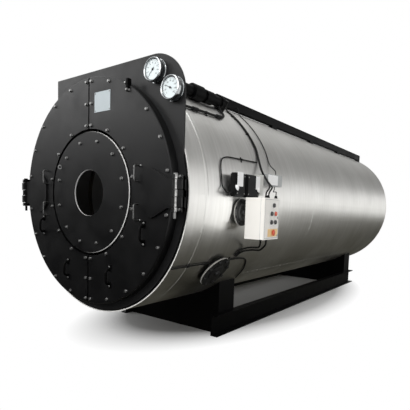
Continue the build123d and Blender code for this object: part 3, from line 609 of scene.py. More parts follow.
# Paints: colour, roughness, share of dust, gloss
PAINTS = {
    "front_paint": ((0.0022, 0.0022, 0.0024), 0.38, 0.12, 0.32),
    # Lighter copy of the front paint: painted light that lifts the shade beside the doors
    "plate_paint": ((0.010, 0.010, 0.0103), 0.38, 0.12, 0.26),
    # Pale matte edge of the cladding: painted highlight
    "clad_end": ((0.72, 0.71, 0.68), 0.4, 0.25, 0.2),
    "furnace": ((0.19, 0.186, 0.182), 0.6, 0.25, 0.2),
    "collar": ((0.10, 0.097, 0.094), 0.6, 0.25, 0.2),
    "dull_plate": ((0.15, 0.145, 0.14), 0.6, 0.25, 0.2),
    "frame_paint": ((0.002, 0.002, 0.0022), 0.42, 0.12, 0.06),
    "bow_black": ((0.0012, 0.0012, 0.0012), 0.5, 0.1, 0.05),
    "port_grey": ((0.055, 0.055, 0.054), 0.38, 0.25, 0.4),
    "bare_edge": (HIGHLIGHT_AND_BARE_EDGE, 0.4, 0.1, 0.45),
    "lap_line": ((0.42, 0.41, 0.38), 0.5, 0.25, 0.2),
    "case_grey": ((0.035, 0.040, 0.042), 0.24, 0.1, 0.45),
    "box_paint": ((0.95, 0.925, 0.87), 0.35, 0.05, 0.45),
    "grey_box": ((0.40, 0.41, 0.41), 0.40, 0.25, 0.45),
    "relay_paint": ((0.68, 0.68, 0.64), 0.40, 0.1, 0.45),
    "port_paint": ((0.008, 0.008, 0.008), 0.45, 0.25, 0.35),
    "plate": ((0.45, 0.50, 0.52), 0.45, 0.1, 0.2),
}

# Bare metals: colour, roughness, share of stain
METALS = {
    "chrome": ((0.52, 0.54, 0.55), 0.14, 0.15),
    "steel": ((0.26, 0.26, 0.256), 0.36, 0.3),
    "dull_steel": ((0.15, 0.15, 0.148), 0.42, 0.3),
}

# Plastic and rubber: colour, roughness, gloss
PLASTICS = {
    "dial": ((0.66, 0.72, 0.73), 0.3, 0.4),
    "button": ((0.02, 0.02, 0.02), 0.3, 0.4),
    "button_red": ((0.62, 0.08, 0.03), 0.3, 0.4),
    "switch_black": ((0.004, 0.004, 0.0042), 0.45, 0.1),
    "cable": ((0.006, 0.006, 0.006), 0.55, 0.08),
    "ink": ((0.015, 0.015, 0.016), 0.5, 0.4),
    "tag": ((0.95, 0.95, 0.94), 0.45, 0.4),
    "yellow": ((0.88, 0.58, 0.27), 0.4, 0.4),
    "soot": ((0.004, 0.004, 0.004), 0.8, 0.4),
}

MATERIALS = {
    "cladding": cladding_material(),
    "bevel": bevel_highlight_material(),
    "sleeve": sleeve_highlight_material(),
    "vessel": vessel_material(),
}
for make, rows in ((paint_material, PAINTS), (metal_material, METALS), (plastic_material, PLASTICS)):
    MATERIALS.update({name: make(name, *row) for name, row in rows.items()})

# Material slot of each node, and the nodes that have another look
SLOTS = {row["node"]: row["material_slot"] for row in frame["record"]["subparts"]}
SPECIAL_LOOKS = {
    # The front plate takes the lighter copy of the front paint, painted light beside the doors
    "front_plate": "plate_paint",
    "boiler_body": "furnace",
    "burner_collar": "collar",
    "rear_cover": "dull_plate",
    "flue_outlet": "dull_plate",
    "left_steel_handles": "dull_steel",
    "right_steel_handles": "dull_steel",
    "left_bow_handles": "bow_black",
    "right_bow_handles": "bow_black",
    "gauge_upper": "case_grey",
    "gauge_lower": "case_grey",
    "inspection_port": "port_grey",
    # The left hinge pin is black, painted shade, where the right pin keeps its steel
    "hinge_pin_left": "bow_black",
}


def dress_mesh(mesh, key):
    """Give a mesh its material, with smooth rounds and sharp corners."""
    mesh.materials.clear()
    mesh.materials.append(MATERIALS[key])
    mesh.shade_smooth()
    mesh.set_sharp_from_angle(angle=radians(SHARP_ANGLE))


def dress_nodes():
    """Give each CAD node its material."""
    for name, piece in nodes.items():
        dress_mesh(piece.data, SPECIAL_LOOKS.get(name, SLOTS[name]))


def facing(point, direction):
    """Placement with its local z along a direction."""
    turn = Vector(direction).to_track_quat("Z", "Y").to_matrix().to_4x4()
    return Matrix.Translation(point) @ turn


def draw_rings(bm, place, profile, sides, turn=0.0):
    """Rings of points about the local z axis, one for each pair of radius and height."""
    angles = [turn + 2 * pi * step / sides for step in range(sides)]
    rings = []
    for radius, height in profile:
        points = [Vector((radius * cos(angle), radius * sin(angle), height)) for angle in angles]
        rings.append([bm.verts.new(place @ point) for point in points])
    return rings


def join_rings(bm, first, second):
    """Faces between two rings of points."""
    count = len(first)
    for step in range(count):
        after = (step + 1) % count
        bm.faces.new((first[step], first[after], second[after], second[step]))


def lathe(bm, place, profile, sides=ROUND_SIDES, turn=0.0):
    """Form turned about the local z axis, with closed ends."""
    rings = draw_rings(bm, place, profile, sides, turn)
    for low, high in zip(rings, rings[1:]):
        join_rings(bm, low, high)
    bm.faces.new(rings[0][::-1])
    bm.faces.new(rings[-1])


def band(bm, place, profile, sides):
    """Ring about the local z axis, from a closed loop of radius and height pairs."""
    rings = draw_rings(bm, place, profile, sides)
    for first, second in zip(rings, rings[1:] + rings[:1]):
        join_rings(bm, first, second)


def hoop(bm, place, inner, outer, low, high, sides=ROUND_SIDES):
    """Square-cut ring about the local z axis."""
    band(bm, place, ((inner, low), (outer, low), (outer, high), (inner, high)), sides)


def slab(bm, low, high, bevel, segments=2):
    """Box between two corners with rounded edges."""
    low, high = Vector(low), Vector(high)
    place = Matrix.Translation((low + high) / 2) @ Matrix.Diagonal((*(high - low), 1.0))
    made = bmesh.ops.create_cube(bm, size=1.0, matrix=place)
    edges = list({edge for vert in made["verts"] for edge in vert.link_edges})
    bmesh.ops.bevel(bm, geom=edges, offset=bevel, segments=segments, affect="EDGES")


def flat_face(bm, place, corners, lift):
    """Flat face over the local xy plane."""
    bm.faces.new([bm.verts.new(place @ Vector((x, y, lift))) for x, y in corners])


def bolt(bm, point, direction, scale=1.0, turn=0.0):
    """Hexagon head on a washer."""
    place = facing(point, direction)
    washer, radius = WASHER_R * scale, BOLT_R * scale
    top, head = WASHER_T * scale, BOLT_H * scale
    in_share, up_share = WASHER_CHAMFER
    lathe(bm, place, [(washer, 0.0), (washer, up_share * top), (in_share * washer, top)])
    in_share, up_share = BOLT_CHAMFER
    rise = [(radius, top), (radius, top + up_share * head), (in_share * radius, top + head)]
    lathe(bm, place, rise, HEX_SIDES, turn)


def bolt_ring(bm, centre, first, second, radius, direction, scale):
    """Ring of bolts in the plane of two directions."""
    for index in range(RING_BOLTS):
        angle = 2 * pi * (index + 0.5) / RING_BOLTS
        spot = centre + first * (radius * cos(angle)) + second * (radius * sin(angle))
        bolt(bm, spot, direction, scale)


def finish_piece(name, bm, key, slot=None, body="boiler"):
    """Piece from the drawn faces, riding on a body. The slot, its look unless given, is worked out but not
    used.
    """
    mesh = bpy.data.meshes.new(name)
    bmesh.ops.recalc_face_normals(bm, faces=bm.faces)
    bm.to_mesh(mesh)
    bm.free()
    dress_mesh(mesh, key)
    piece = add_object(name, mesh)
    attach(piece, body)
    slot = slot or key
    return piece


def front_point(radius, angle, y):
    """Point on the front at a radius and an angle from the right, in degrees."""
    return Vector((radius * cos(radians(angle)), y, AXIS_Z + radius * sin(radians(angle))))


def shell_point(angle, y, lift=0.0):
    """Point over the cladding at an angle round it and a distance behind the front plate."""
    return front_point(CLAD_R + lift, angle, PLATE_Y + y)


def shell_normal(angle):
    """Direction out of the cladding at an angle."""
    return Vector((cos(radians(angle)), 0.0, sin(radians(angle))))


def make_burner_plate():
    """Burner plate with a gap round it, a bevel with a painted highlight on its right, and a bare edge round
    its bore.
    """
    place = facing((0.0, FACE_Y, AXIS_Z), FORWARD)
    rim, low = FACE_R - EDGE_W, -EDGE_W
    bm = bmesh.new()
    hoop(bm, place, BORE_R, rim, -FACE_T, 0.0, SHELL_SIDES)
    hoop(bm, place, rim, FACE_R, -FACE_T, low, SHELL_SIDES)
    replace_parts(finish_piece("burner_face", bm, "front_paint"), "burner_plate")
    # Bevel with a painted highlight on its right side
    bm = bmesh.new()
    skin = ((rim, low), (rim, EDGE_SKIN), (FACE_R, low + EDGE_SKIN), (FACE_R, low))
    band(bm, place, skin, SHELL_SIDES)
    finish_piece("burner_bevel", bm, "bevel", "front_paint")
    bm = bmesh.new()
    hoop(bm, place, BORE_R - BORE_LIP, BORE_R + BORE_LAP, -FACE_T, -BORE_BACK, SHELL_SIDES)
    finish_piece("burner_bore_edge", bm, "bare_edge", "front_paint")


def make_plate_bolts(name, count, radius, y, direction, turn_step=0.0):
    """Ring of bolts on a round plate."""
    bm = bmesh.new()
    for index in range(count):
        point = front_point(radius, 360.0 * (index + 0.5) / count, y)
        bolt(bm, point, direction, turn=turn_step * index)
    finish_piece(name, bm, "steel")


def make_lifting_eye():
    """Small ring on a stud at the upper left of the burner plate."""
    bm = bmesh.new()
    lathe(bm, facing(EYE_PLACE, FORWARD), EYE_STUD, SCREW_SIDES)
    ring = facing(EYE_PLACE + EYE_RING_SHIFT, EYE_RING_AIM)
    hoop(bm, ring, *EYE_RING_R, -EYE_RING_HALF, EYE_RING_HALF, EYE_SIDES)
    finish_piece("burner_eye", bm, "steel")


def make_door_bolts(side, sign):
    """Bolts on a door: an inner ring, an outer ring and pairs beside the seam."""
    bm = bmesh.new()
    rings = ((DOOR_INNER_BOLT_R, DOOR_INNER_ANGLES), (DOOR_OUTER_BOLT_R, DOOR_OUTER_ANGLES))
    for radius, angles in rings:
        for angle in angles:
            for way in (-1, 1):
                point = front_point(radius, way * angle, DOOR_Y)
                point.x *= sign
                bolt(bm, point, FORWARD, turn=angle)
    for height in SEAM_BOLT_Z:
        for way in (-1, 1):
            bolt(bm, (sign * SEAM_BOLT_X, DOOR_Y, AXIS_Z + way * height), FORWARD, turn=height)
    finish_piece(f"{side}_door_bolts", bm, "steel", body=f"{side}_door")


def make_door_studs(side, sign):
    """Round studs above and below each bow handle, and small ones beside the steel handles."""
    bm = bmesh.new()
    for angle in BOW_ANGLES:
        for way in (-1, 1):
            point = front_point(BOW_PITCH_R, angle, DOOR_Y) + UPWARD * (way * BOW_STUD_Z)
            point.x *= sign
            lathe(bm, facing(point, FORWARD), BOW_STUD)
    finish_piece(f"{side}_bow_studs", bm, "steel", body=f"{side}_door")
    bm = bmesh.new()
    for height in HANDLE_FEET:
        point = (sign * HANDLE_STUD_X, DOOR_Y, AXIS_Z + height)
        lathe(bm, facing(point, FORWARD), HANDLE_STUD, SCREW_SIDES)
    finish_piece(f"{side}_handle_studs", bm, "steel", body=f"{side}_door")


def make_gussets(side):
    """Hinge bracket with its lugs cut slantwise, back to the edge of the front plate."""
    node = f"hinge_bracket_{side}"
    bm = bmesh.new()
    bm.from_mesh(nodes[node].data)
    for vert in bm.verts:
        if abs(vert.co.x) > PIN_X + LEAF_BOLT_X and vert.co.y > PIN_Y + LEAF_BOLT_X:
            vert.co.x = (PIN_X + LUG_TAIL) * (1 if vert.co.x > 0 else -1)
    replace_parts(finish_piece(f"hinge_gussets_{side}", bm, "front_paint"), node)


def make_sleeves(side, sign):
    """Sleeves round the knuckles of a hinge: a painted highlight stripe on the right hinge's sleeves, plain
    black on the left.
    """
    look = "sleeve" if sign > 0 else "bow_black"
    place = facing((sign * PIN_X, PIN_Y, AXIS_Z), UPWARD)
    for name, body, spans in (("door", f"{side}_door", DOOR_SLEEVES), ("lug", "boiler", LUG_SLEEVES)):
        bm = bmesh.new()
        for low, high in spans:
            hoop(bm, place, SLEEVE_BORE_R, SLEEVE_R, low + SLEEVE_GAP, high - SLEEVE_GAP, SLEEVE_SIDES)
        finish_piece(f"{side}_{name}_sleeves", bm, look, "steel", body)


def make_door_clamp():
    """Clamp on the upper edge of the right door: a bar and a tab, with a bolt in each."""
    centre = front_point(DOOR_R - CLAMP_INSET, CLAMP_ANGLE, DOOR_Y)
    bm = bmesh.new()
    for low, high, bevel in (CLAMP_BAR, CLAMP_TAB):
        slab(bm, centre + Vector(low), centre + Vector(high), bevel)
    finish_piece("door_clamp", bm, "bow_black", "front_paint", "right_door")
    bm = bmesh.new()
    for shift in CLAMP_BOLTS:
        bolt(bm, centre + Vector(shift), FORWARD, CLAMP_BOLT_SCALE)
    finish_piece("door_clamp_bolts", bm, "steel", body="right_door")


def make_bracket_bolts():
    """Bolts on the end lugs of the hinge brackets."""
    bm = bmesh.new()
    for sign in (-1, 1):
        for way in (-1, 1):
            point = (sign * (PIN_X + LEAF_BOLT_X), PIN_Y, AXIS_Z + way * LEAF_BOLT_Z)
            bolt(bm, point, FORWARD, LEAF_BOLT_SCALE)
    finish_piece("hinge_lug_bolts", bm, "steel")


def make_blank_plate():
    """Bare plate high on the right door, with a rivet in each corner."""
    half_x, half_z = BLANK_SIZE[0] / 2, BLANK_SIZE[1] / 2
    x, z = BLANK_CENTRE[0], AXIS_Z + BLANK_CENTRE[1]
    face = DOOR_Y - BLANK_T
    bm = bmesh.new()
    slab(bm, (x - half_x, face, z - half_z), (x + half_x, DOOR_Y, z + half_z), BLANK_BEVEL)
    finish_piece("blank_plate", bm, "plate", body="right_door")
    bm = bmesh.new()
    for way in (-1, 1):
        for up in (-1, 1):
            point = (x + way * (half_x - BLANK_RIVET_INSET), face, z + up * (half_z - BLANK_RIVET_INSET))
            lathe(bm, facing(point, FORWARD), BLANK_RIVET)
    finish_piece("blank_plate_rivets", bm, "steel", body="right_door")


def dial_place(name):
    """Placement on a gauge's dial: local x to the right, y up, z out of the dial."""
    low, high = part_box(name)
    dial_y = low.y + DIAL_RECESS
    turn = Matrix(((1, 0, 0), (0, 0, -1), (0, 1, 0))).to_4x4()
    return Matrix.Translation(((low.x + high.x) / 2, dial_y, (low.z + high.z) / 2)) @ turn


def make_bezel(name):
    """Rolled bright rim over a gauge's bezel, the flange at its back, and a dark ring round the dial, a
    painted shadow line.
    """
    place = dial_place(name)
    bm = bmesh.new()
    band(bm, place, BEZEL, GAUGE_SIDES)
    band(bm, place, [(radius, FLANGE_BACK + height) for radius, height in FLANGE], GAUGE_SIDES)
    finish_piece(f"{name}_bezel", bm, "chrome")
    bm = bmesh.new()
    # Dark ring round the dial: painted shadow line
    band(bm, place, DIAL_SHADOW_RING, GAUGE_SIDES)
    finish_piece(f"{name}_dial_shadow", bm, "ink")


def draw_numeral(bm, place, words, angle):
    """Numeral beside a long tick."""
    data = bpy.data.curves.new("numeral", "FONT")
    data.body = words
    data.size = NUMERAL_SIZE
    data.align_x = "CENTER"
    data.align_y = "CENTER"
    holder = add_object("numeral", data)
    bpy.context.view_layer.update()
    mesh = bpy.data.meshes.new_from_object(holder)
    spot = Vector((NUMERAL_R * cos(angle), NUMERAL_R * sin(angle), INK_LIFT))
    mesh.transform(place @ Matrix.Translation(spot))
    bm.from_mesh(mesh)
    bpy.data.meshes.remove(mesh)
    bpy.data.objects.remove(holder)
    bpy.data.curves.remove(data)


def make_dial(name, pointer_angle, step_value):
    """Scale, numerals and pointer of a gauge."""
    place = dial_place(name)
    bm = bmesh.new()
    for index in range(DIAL_TICKS + 1):
        angle = radians(DIAL_START - DIAL_SWEEP * index / DIAL_TICKS)
        major = index % DIAL_MAJOR == 0
        length, half = MAJOR_TICK if major else MINOR_TICK
        inner = DIAL_R - length
        corners = ((inner, -half), (DIAL_R, -half), (DIAL_R, half), (inner, half))
        flat_face(bm, place @ Matrix.Rotation(angle, 4, "Z"), corners, INK_LIFT)
        if major:
            draw_numeral(bm, place, str(step_value * index // DIAL_MAJOR), angle)
    flat_face(bm, place @ Matrix.Rotation(radians(pointer_angle), 4, "Z"), NEEDLE, NEEDLE_LIFT)
    lathe(bm, place, NEEDLE_HUB)
    finish_piece(f"{name}_scale", bm, "ink")


def make_cladding_laps():
    """Lapped strip over each joint between two courses."""
    edge = LAP_W / 2
    inner = edge - LAP_TAPER
    low, high = CLAD_R - LAP_SINK, CLAD_R + LAP_T
    bm = bmesh.new()
    for index in range(2, COURSE_COUNT + 1):
        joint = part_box(f"cladding_{index}")[0].y
        place = facing((0.0, joint, AXIS_Z), BACKWARD)
        band(bm, place, ((low, -edge), (high, -inner), (high, inner), (low, edge)), SHELL_SIDES)
    finish_piece("cladding_laps", bm, "cladding")


def make_cladding_end():
    """Pale matte outer edge, a painted highlight, and dark seal at the front end of the cladding."""
    place = facing((0.0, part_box("cladding_1")[0].y, AXIS_Z), FORWARD)
    bm = bmesh.new()
    hoop(bm, place, CLAD_R - END_W, CLAD_R, -END_SINK, END_PROUD, SHELL_SIDES)
    finish_piece("cladding_end", bm, "clad_end", "cladding")
    bm = bmesh.new()
    hoop(bm, place, PLATE_R, CLAD_R - END_W, -END_SINK, SEAL_PROUD, SHELL_SIDES)
    finish_piece("cladding_end_seal", bm, "front_paint")


def make_front_lap_line():
    """Pale line under the drum along the first joint."""
    edges = (FRONT_LAP_Y - LAP_LINE_W / 2, FRONT_LAP_Y + LAP_LINE_W / 2)
    bm = bmesh.new()
    rows = []
    for angle in LAP_LINE_ANGLES:
        rows.append([bm.verts.new(shell_point(angle, y, LAP_LINE_LIFT)) for y in edges])
    for first, second in zip(rows, rows[1:]):
        bm.faces.new((first[0], second[0], second[1], first[1]))
    finish_piece("front_lap_line", bm, "lap_line", "cladding")


def make_cladding_rivets():
    """Small rivets along the lengthwise seam, which starts behind the handhole."""
    out = shell_normal(LONG_SEAM_ANGLE)
    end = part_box(f"cladding_{COURSE_COUNT}")[1].y - PLATE_Y
    bm = bmesh.new()
    for step in range(int((end - LONG_SEAM_Y) / LONG_RIVET_STEP)):
        point = shell_point(LONG_SEAM_ANGLE, LONG_SEAM_Y + (step + 0.5) * LONG_RIVET_STEP)
        lathe(bm, facing(point, out), LONG_RIVET, RIVET_SIDES)
    finish_piece("cladding_rivets", bm, "lap_line", "steel")


def make_buttons():
    """Push buttons in bright collars, and the red stop button on its yellow plate."""
    collars = bmesh.new()
    for look, spots in BUTTONS.items():
        bm = bmesh.new()
        for shift, height in spots:
            place = facing((BOX_HIGH.x, BUTTON_Y + shift, BOX_HIGH.z + height), RIGHTWARD)
            hoop(collars, place, BUTTON_R, COLLAR_R, 0.0, COLLAR_H)
            lathe(bm, place, BUTTON_CAP)
        finish_piece(f"push_caps_{look}", bm, look, "button")
    place = facing(STOP_PLACE, RIGHTWARD)
    hoop(collars, place, STOP_STEM_R, STOP_COLLAR_R, *STOP_COLLAR_SPAN)
    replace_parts(finish_piece("push_collars", collars, "chrome"), "control_buttons")
    bm = bmesh.new()
    lathe(bm, place, STOP_CAP)
    finish_piece("stop_button", bm, "button_red", "button")
    bm = bmesh.new()
    half = Vector((0.0, *STOP_PLATE_HALF))
    slab(bm, STOP_PLACE - half, STOP_PLACE + half + RIGHTWARD * STOP_PLATE_T, STOP_PLATE_BEVEL)
    finish_piece("stop_back_plate", bm, "yellow")


def draw_lines(bm, low, high, inside, outside, span_x):
    """Four thin bars along the sides of an upright rectangle."""
    sides = (
        (low.y - outside, low.y + inside, low.z, high.z),
        (high.y - inside, high.y + outside, low.z, high.z),
        (low.y, high.y, low.z - outside, low.z + inside),
        (low.y, high.y, high.z - inside, high.z + outside),
    )
    for low_y, high_y, low_z, high_z in sides:
        slab(bm, (span_x[0], low_y, low_z), (span_x[1], high_y, high_z), LINE_BEVEL, segments=1)


def make_box_trim():
    """Raised line and seam of the lid, locks and cable glands of the control box."""
    bm = bmesh.new()
    inset = Vector((0.0, LID_INSET, LID_INSET))
    face, seam = BOX_HIGH.x, BOX_HIGH.x - LID_T
    draw_lines(bm, BOX_LOW + inset, BOX_HIGH - inset, LID_LINE_W, 0.0, (face - LINE_SINK, face + LINE_PROUD))
    draw_lines(bm, BOX_LOW, BOX_HIGH, LINE_SINK, LINE_PROUD, (seam, seam + SEAM_W))
    for drop in LOCK_DROPS:
        point = (face, BOX_HIGH.y - LOCK_INSET, BOX_HIGH.z - drop)
        lathe(bm, facing(point, RIGHTWARD), LOCK)
    finish_piece("control_box_edge", bm, "grey_box")
    bm = bmesh.new()
    for x, y, up in BOX_GLANDS:
        z = BOX_HIGH.z if up > 0 else BOX_LOW.z
        lathe(bm, facing((x, PLATE_Y + y, z), UPWARD * up), GLAND, SCREW_SIDES)
    finish_piece("control_box_glands", bm, "switch_black")


def make_tags():
    """Blank white tags on the switches and the junction box."""
    bm = bmesh.new()
    for node, behind, over, width, height in TAGS:
        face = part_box(node)[1].x + (COVER_T if node == "pressure_switches" else 0.0)
        y, z = PLATE_Y + behind, AXIS_Z + over
        slab(bm, (face, y, z), (face + TAG_T, y + width, z + height), TAG_BEVEL)
    finish_piece("blank_tags", bm, "tag")


def draw_housing(bm, start, end):
    """Housing of a pressure switch, on a foot that reaches the cladding."""
    back, middle = SWITCH_HIGH.x - SWITCH_D, (start + end) / 2
    slab(bm, (back, start, SWITCH_LOW.z), (SWITCH_HIGH.x, end, SWITCH_HIGH.z), HOUSING_BEVEL, segments=3)
    low = (CLAD_R - FOOT_SINK, middle - FOOT_HALF, SWITCH_LOW.z + FOOT_SPAN[0])
    high = (back + FOOT_LAP, middle + FOOT_HALF, SWITCH_LOW.z + FOOT_SPAN[1])
    slab(bm, low, high, FOOT_BEVEL)


def draw_cover(covers, screws, start, end):
    """Cover of a pressure switch, with a screw in each corner."""
    face = SWITCH_HIGH.x + COVER_T
    low = (SWITCH_HIGH.x, start + COVER_FRONT, SWITCH_LOW.z + COVER_MARGIN)
    slab(covers, low, (face, end - COVER_MARGIN, SWITCH_HIGH.z - COVER_MARGIN), COVER_BEVEL)
    for y in (start + SCREW_FRONT, end - SCREW_MARGIN):
        for z in (SWITCH_LOW.z + SCREW_MARGIN, SWITCH_HIGH.z - SCREW_MARGIN):
            lathe(screws, facing((face, y, z), RIGHTWARD), COVER_SCREW, SCREW_SIDES)


def make_switches():
    """Pressure switches: housings, covers, screws and nozzles, and the union of the tube."""
    width = (SWITCH_HIGH.y - SWITCH_LOW.y - SWITCH_GAP) / 2
    spans = ((SWITCH_LOW.y + UNION_L, SWITCH_LOW.y + width), (SWITCH_HIGH.y - width, SWITCH_HIGH.y))
    housings, covers, screws, nozzles = bmesh.new(), bmesh.new(), bmesh.new(), bmesh.new()
    for (start, end), nozzle_y in zip(spans, NOZZLE_Y):
        draw_housing(housings, start, end)
        draw_cover(covers, screws, start, end)
        point = (SWITCH_HIGH.x + COVER_T, start + nozzle_y, SWITCH_LOW.z + NOZZLE_Z)
        lathe(nozzles, facing(point, NOZZLE_AIM), NOZZLE, TUBE_SIDES)
    point = (SWITCH_HIGH.x - SWITCH_D / 2, SWITCH_LOW.y, SWITCH_LOW.z + UNION_RISE)
    lathe(housings, facing(point, BACKWARD), UNION, SCREW_SIDES)
    made = finish_piece("switch_housings", housings, "switch_black")
    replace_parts(made, "pressure_switches")
    finish_piece("switch_covers", covers, "switch_black")
    finish_piece("switch_screws", screws, "steel")
    finish_piece("switch_nozzles", nozzles, "tag")


def make_ports():
    """Nuts, pale rims that are painted highlights, and caps of the inspection port and the handhole."""
    out = shell_normal(HANDHOLE_ANGLE)
    centre = shell_point(HANDHOLE_ANGLE, HANDHOLE_Y, HANDHOLE_OUT)
    handhole, port = facing(centre, out), facing(PORT_CENTRE, RIGHTWARD)
    bm = bmesh.new()
    bolt_ring(bm, PORT_CENTRE, BACKWARD, UPWARD, PORT_BOLT_R, RIGHTWARD, PORT_BOLT_SCALE)
    bolt_ring(bm, centre, BACKWARD, out.cross(BACKWARD), HANDHOLE_BOLT_R, out, HANDHOLE_BOLT_SCALE)
    finish_piece("port_bolts", bm, "port_paint")
    # Pale rims along the edges of the port and the handhole: painted highlights
    bm = bmesh.new()
    for place, radius, low in ((handhole, HANDHOLE_R, HANDHOLE_RIM_LOW), (port, PORT_R, PORT_RIM_LOW)):
        hoop(bm, place, radius - RIM_IN, radius + RIM_OUT, low, RIM_TOP, SHELL_SIDES)
    finish_piece("port_rims", bm, "lap_line", "port_paint")
    bm = bmesh.new()
    lathe(bm, handhole, HANDHOLE_CAP, SLEEVE_SIDES)
    finish_piece("handhole_cap", bm, "port_paint")
    bm = bmesh.new()
    lathe(bm, port, PORT_CAP, CAP_SIDES)
    finish_piece("port_cap", bm, "port_grey", "port_paint")


def make_cable_clips():
    """Saddle clips that hold the cables to the cladding."""
    bm = bmesh.new()
    for angle, y, radius, way in CLIPS:
        out = shell_normal(angle)
        run = BACKWARD if way == "along" else out.cross(BACKWARD)
        place = facing(shell_point(angle, y, radius + CABLE_CLEAR), run)
        hoop(bm, place, radius + CLIP_GAP, radius + CLIP_T, -CLIP_HALF, CLIP_HALF, TUBE_SIDES)
        side = run.cross(out) * (radius + CLIP_FOOT_OUT)
        for foot in (shell_point(angle, y) - side, shell_point(angle, y) + side):
            lathe(bm, facing(foot, out), CLIP_FOOT, FOOT_SIDES)
    finish_piece("cable_clips", bm, "cable")


def make_conduit_couplings():
    """Couplings on the conduit beside the gauges."""
    bm = bmesh.new()
    for angle, y, half in COUPLINGS:
        inner = half - COUPLING_TAPER
        rise = [(COUPLING_END_R, -half), (COUPLING_R, -inner), (COUPLING_R, inner), (COUPLING_END_R, half)]
        lathe(bm, facing(shell_point(angle, y, COUPLING_LIFT), BACKWARD), rise, RIVET_SIDES)
    finish_piece("conduit_couplings", bm, "cable")


def make_pipe_bolts():
    """Studs round the joints of the top pipe."""
    out = shell_normal(PIPE_ANGLE)
    bm = bmesh.new()
    for y, radius in PIPE_BOLT_RINGS:
        centre = shell_point(PIPE_ANGLE, y, PIPE_LIFT)
        bolt_ring(bm, centre, out, out.cross(BACKWARD), radius, FORWARD, PIPE_BOLT_SCALE)
    finish_piece("pipe_bolts", bm, "frame_paint")


def make_tube_ends():
    """Ends of the smoke tubes, rolled into the tube plate."""
    ends, mouths = bmesh.new(), bmesh.new()
    for radius in TUBE_ROWS:
        count = int(2 * pi * radius / TUBE_PITCH)
        for index in range(count):
            place = facing(front_point(radius, 360.0 * index / count, TUBE_PLATE_Y), FORWARD)
            hoop(ends, place, TUBE_BORE_R, TUBE_R, 0.0, TUBE_PROUD, TUBE_SIDES)
            lathe(mouths, place, TUBE_MOUTH, TUBE_SIDES)
    finish_piece("smoke_tube_ends", ends, "vessel")
    finish_piece("smoke_tube_mouths", mouths, "soot")


def make_camera():
    """Camera at the photograph's viewing angle."""
    data = bpy.data.cameras.new("camera")
    data.lens = CAMERA_LENS
    data.shift_y = CAMERA_SHIFT
    data.clip_end = CAMERA_REACH
    camera = add_object("camera", data)
    turn, tilt = radians(CAMERA_AZIMUTH), radians(CAMERA_TILT)
    forward = Vector((-sin(turn) * cos(tilt), cos(turn) * cos(tilt), -sin(tilt)))
    aim = forward.to_track_quat("-Z", "Y").to_matrix() @ Matrix.Rotation(radians(CAMERA_ROLL), 3, "Z")
    camera.matrix_world = Matrix.Translation(CAMERA_PLACE) @ aim.to_4x4()
    bpy.context.scene.camera = camera


def seen_directly(owner):
    """One for rays from the camera, off a mirror or through glass, else nothing."""
    path = add_node(owner, "ShaderNodeLightPath").outputs
    seen = math_node(owner, "MAXIMUM", path["Is Camera Ray"], path["Is Glossy Ray"])
    return math_node(owner, "MAXIMUM", seen, path["Is Transmission Ray"])


def make_world():
    """White behind the object and in its reflections, and a soft grey fill."""
    world = bpy.data.worlds.new("studio")
    world.use_nodes = True
    background = world.node_tree.nodes["Background"]
    background.inputs["Color"].default_value = (1.0, 1.0, 1.0, 1.0)
    strength = level(world, seen_directly(world), 0.0, 1.0, WORLD_FILL, 1.0)
    link(world, strength, background.inputs["Strength"])
    bpy.context.scene.world = world


def flat_panel(name, corners, mat):
    """Flat stage piece between its corners."""
    mesh = bpy.data.meshes.new(name)
    mesh.from_pydata(corners, [], [tuple(range(len(corners)))])
    mesh.materials.append(mat)
    panel = add_object(name, mesh)
    return panel


def floor_material():
    """Pale floor that takes the shadow and fades to white away from the object."""
    mat, shader, place = new_material("pale_floor", specular=0.2)
    shader.inputs["Base Color"].default_value = FLOOR_GREY
    shader.inputs["Roughness"].default_value = 0.7
    oval = stretched(mat, place, FLOOR_OVAL_SCALE, FLOOR_OVAL_SHIFT)
    distance = add_node(mat, "ShaderNodeVectorMath", operation="LENGTH", i0=oval).outputs["Value"]
    far = level(mat, distance, *FLOOR_FADE, 0.0, 1.0)
    white = add_node(mat, "ShaderNodeEmission", Strength=1.0).outputs[0]
    share = math_node(mat, "MULTIPLY", far, seen_directly(mat))
    blend = add_node(mat, "ShaderNodeMixShader", i0=share, i1=shader.outputs[0], i2=white)
    link(mat, blend.outputs[0], mat.node_tree.nodes["Material Output"].inputs["Surface"])
    return mat


def make_floor():
    """Square floor under the object."""
    near, far = -FLOOR_REACH, FLOOR_REACH
    corners = [(near, near, 0.0), (far, near, 0.0), (far, far, 0.0), (near, far, 0.0)]
    flat_panel("floor", corners, floor_material())


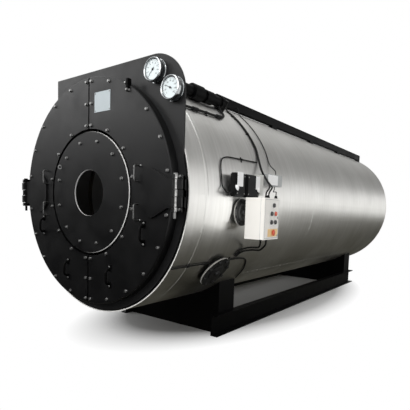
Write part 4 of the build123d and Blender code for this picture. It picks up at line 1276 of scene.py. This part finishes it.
def card(name, corners, glow):
    """Studio card that shows only in reflections."""
    mat = bpy.data.materials.new(name)
    mat.use_nodes = True
    shine = add_node(mat, "ShaderNodeEmission", Color=(*glow, 1.0), Strength=1.0)
    link(mat, shine.outputs[0], mat.node_tree.nodes["Material Output"].inputs["Surface"])
    panel = flat_panel(name, corners, mat)
    for ray in ("camera", "diffuse", "shadow", "transmission"):
        setattr(panel, f"visible_{ray}", False)


def make_cards():
    """Level cards from their outlines, and upright cards between two points of their feet."""
    for name, edge, height, glow in LEVEL_CARDS:
        card(name, [(x, y, height) for x, y in edge], glow)
    for name, start, end, (low, high), glow in UPRIGHT_CARDS:
        card(name, [(*start, low), (*end, low), (*end, high), (*start, high)], glow)


def area_light(name, place, target, size, power):
    """Soft box aimed at a point."""
    data = bpy.data.lights.new(name, "AREA")
    data.shape = "RECTANGLE"
    data.size, data.size_y = size
    data.energy = power
    lamp = add_object(name, data)
    aim = (Vector(target) - Vector(place)).to_track_quat("-Z", "Y")
    lamp.matrix_world = Matrix.Translation(place) @ aim.to_matrix().to_4x4()
    lamp.visible_camera = False


dress_nodes()
make_burner_plate()
make_plate_bolts("burner_bolts", BURNER_BOLTS, BURNER_BOLT_R, FACE_Y, FORWARD, BURNER_BOLT_TURN)
make_lifting_eye()
for door_side, door_sign in (("left", -1), ("right", 1)):
    make_door_bolts(door_side, door_sign)
    make_door_studs(door_side, door_sign)
    make_gussets(door_side)
    make_sleeves(door_side, door_sign)
make_door_clamp()
make_bracket_bolts()
make_blank_plate()
for gauge, pointer, numeral_step in GAUGES:
    make_bezel(gauge)
    make_dial(gauge, pointer, numeral_step)
make_cladding_laps()
make_cladding_end()
make_front_lap_line()
make_cladding_rivets()
make_buttons()
make_box_trim()
make_tags()
make_switches()
make_ports()
make_cable_clips()
make_conduit_couplings()
make_pipe_bolts()
make_tube_ends()
make_plate_bolts("rear_bolts", REAR_BOLTS, REAR_HIGH.x - REAR_BOLT_INSET, REAR_HIGH.y, BACKWARD)
make_camera()
make_world()
make_floor()
make_cards()
for soft_box in SOFT_BOXES:
    area_light(*soft_box)
bpy.context.scene.view_settings.view_transform = "Standard"
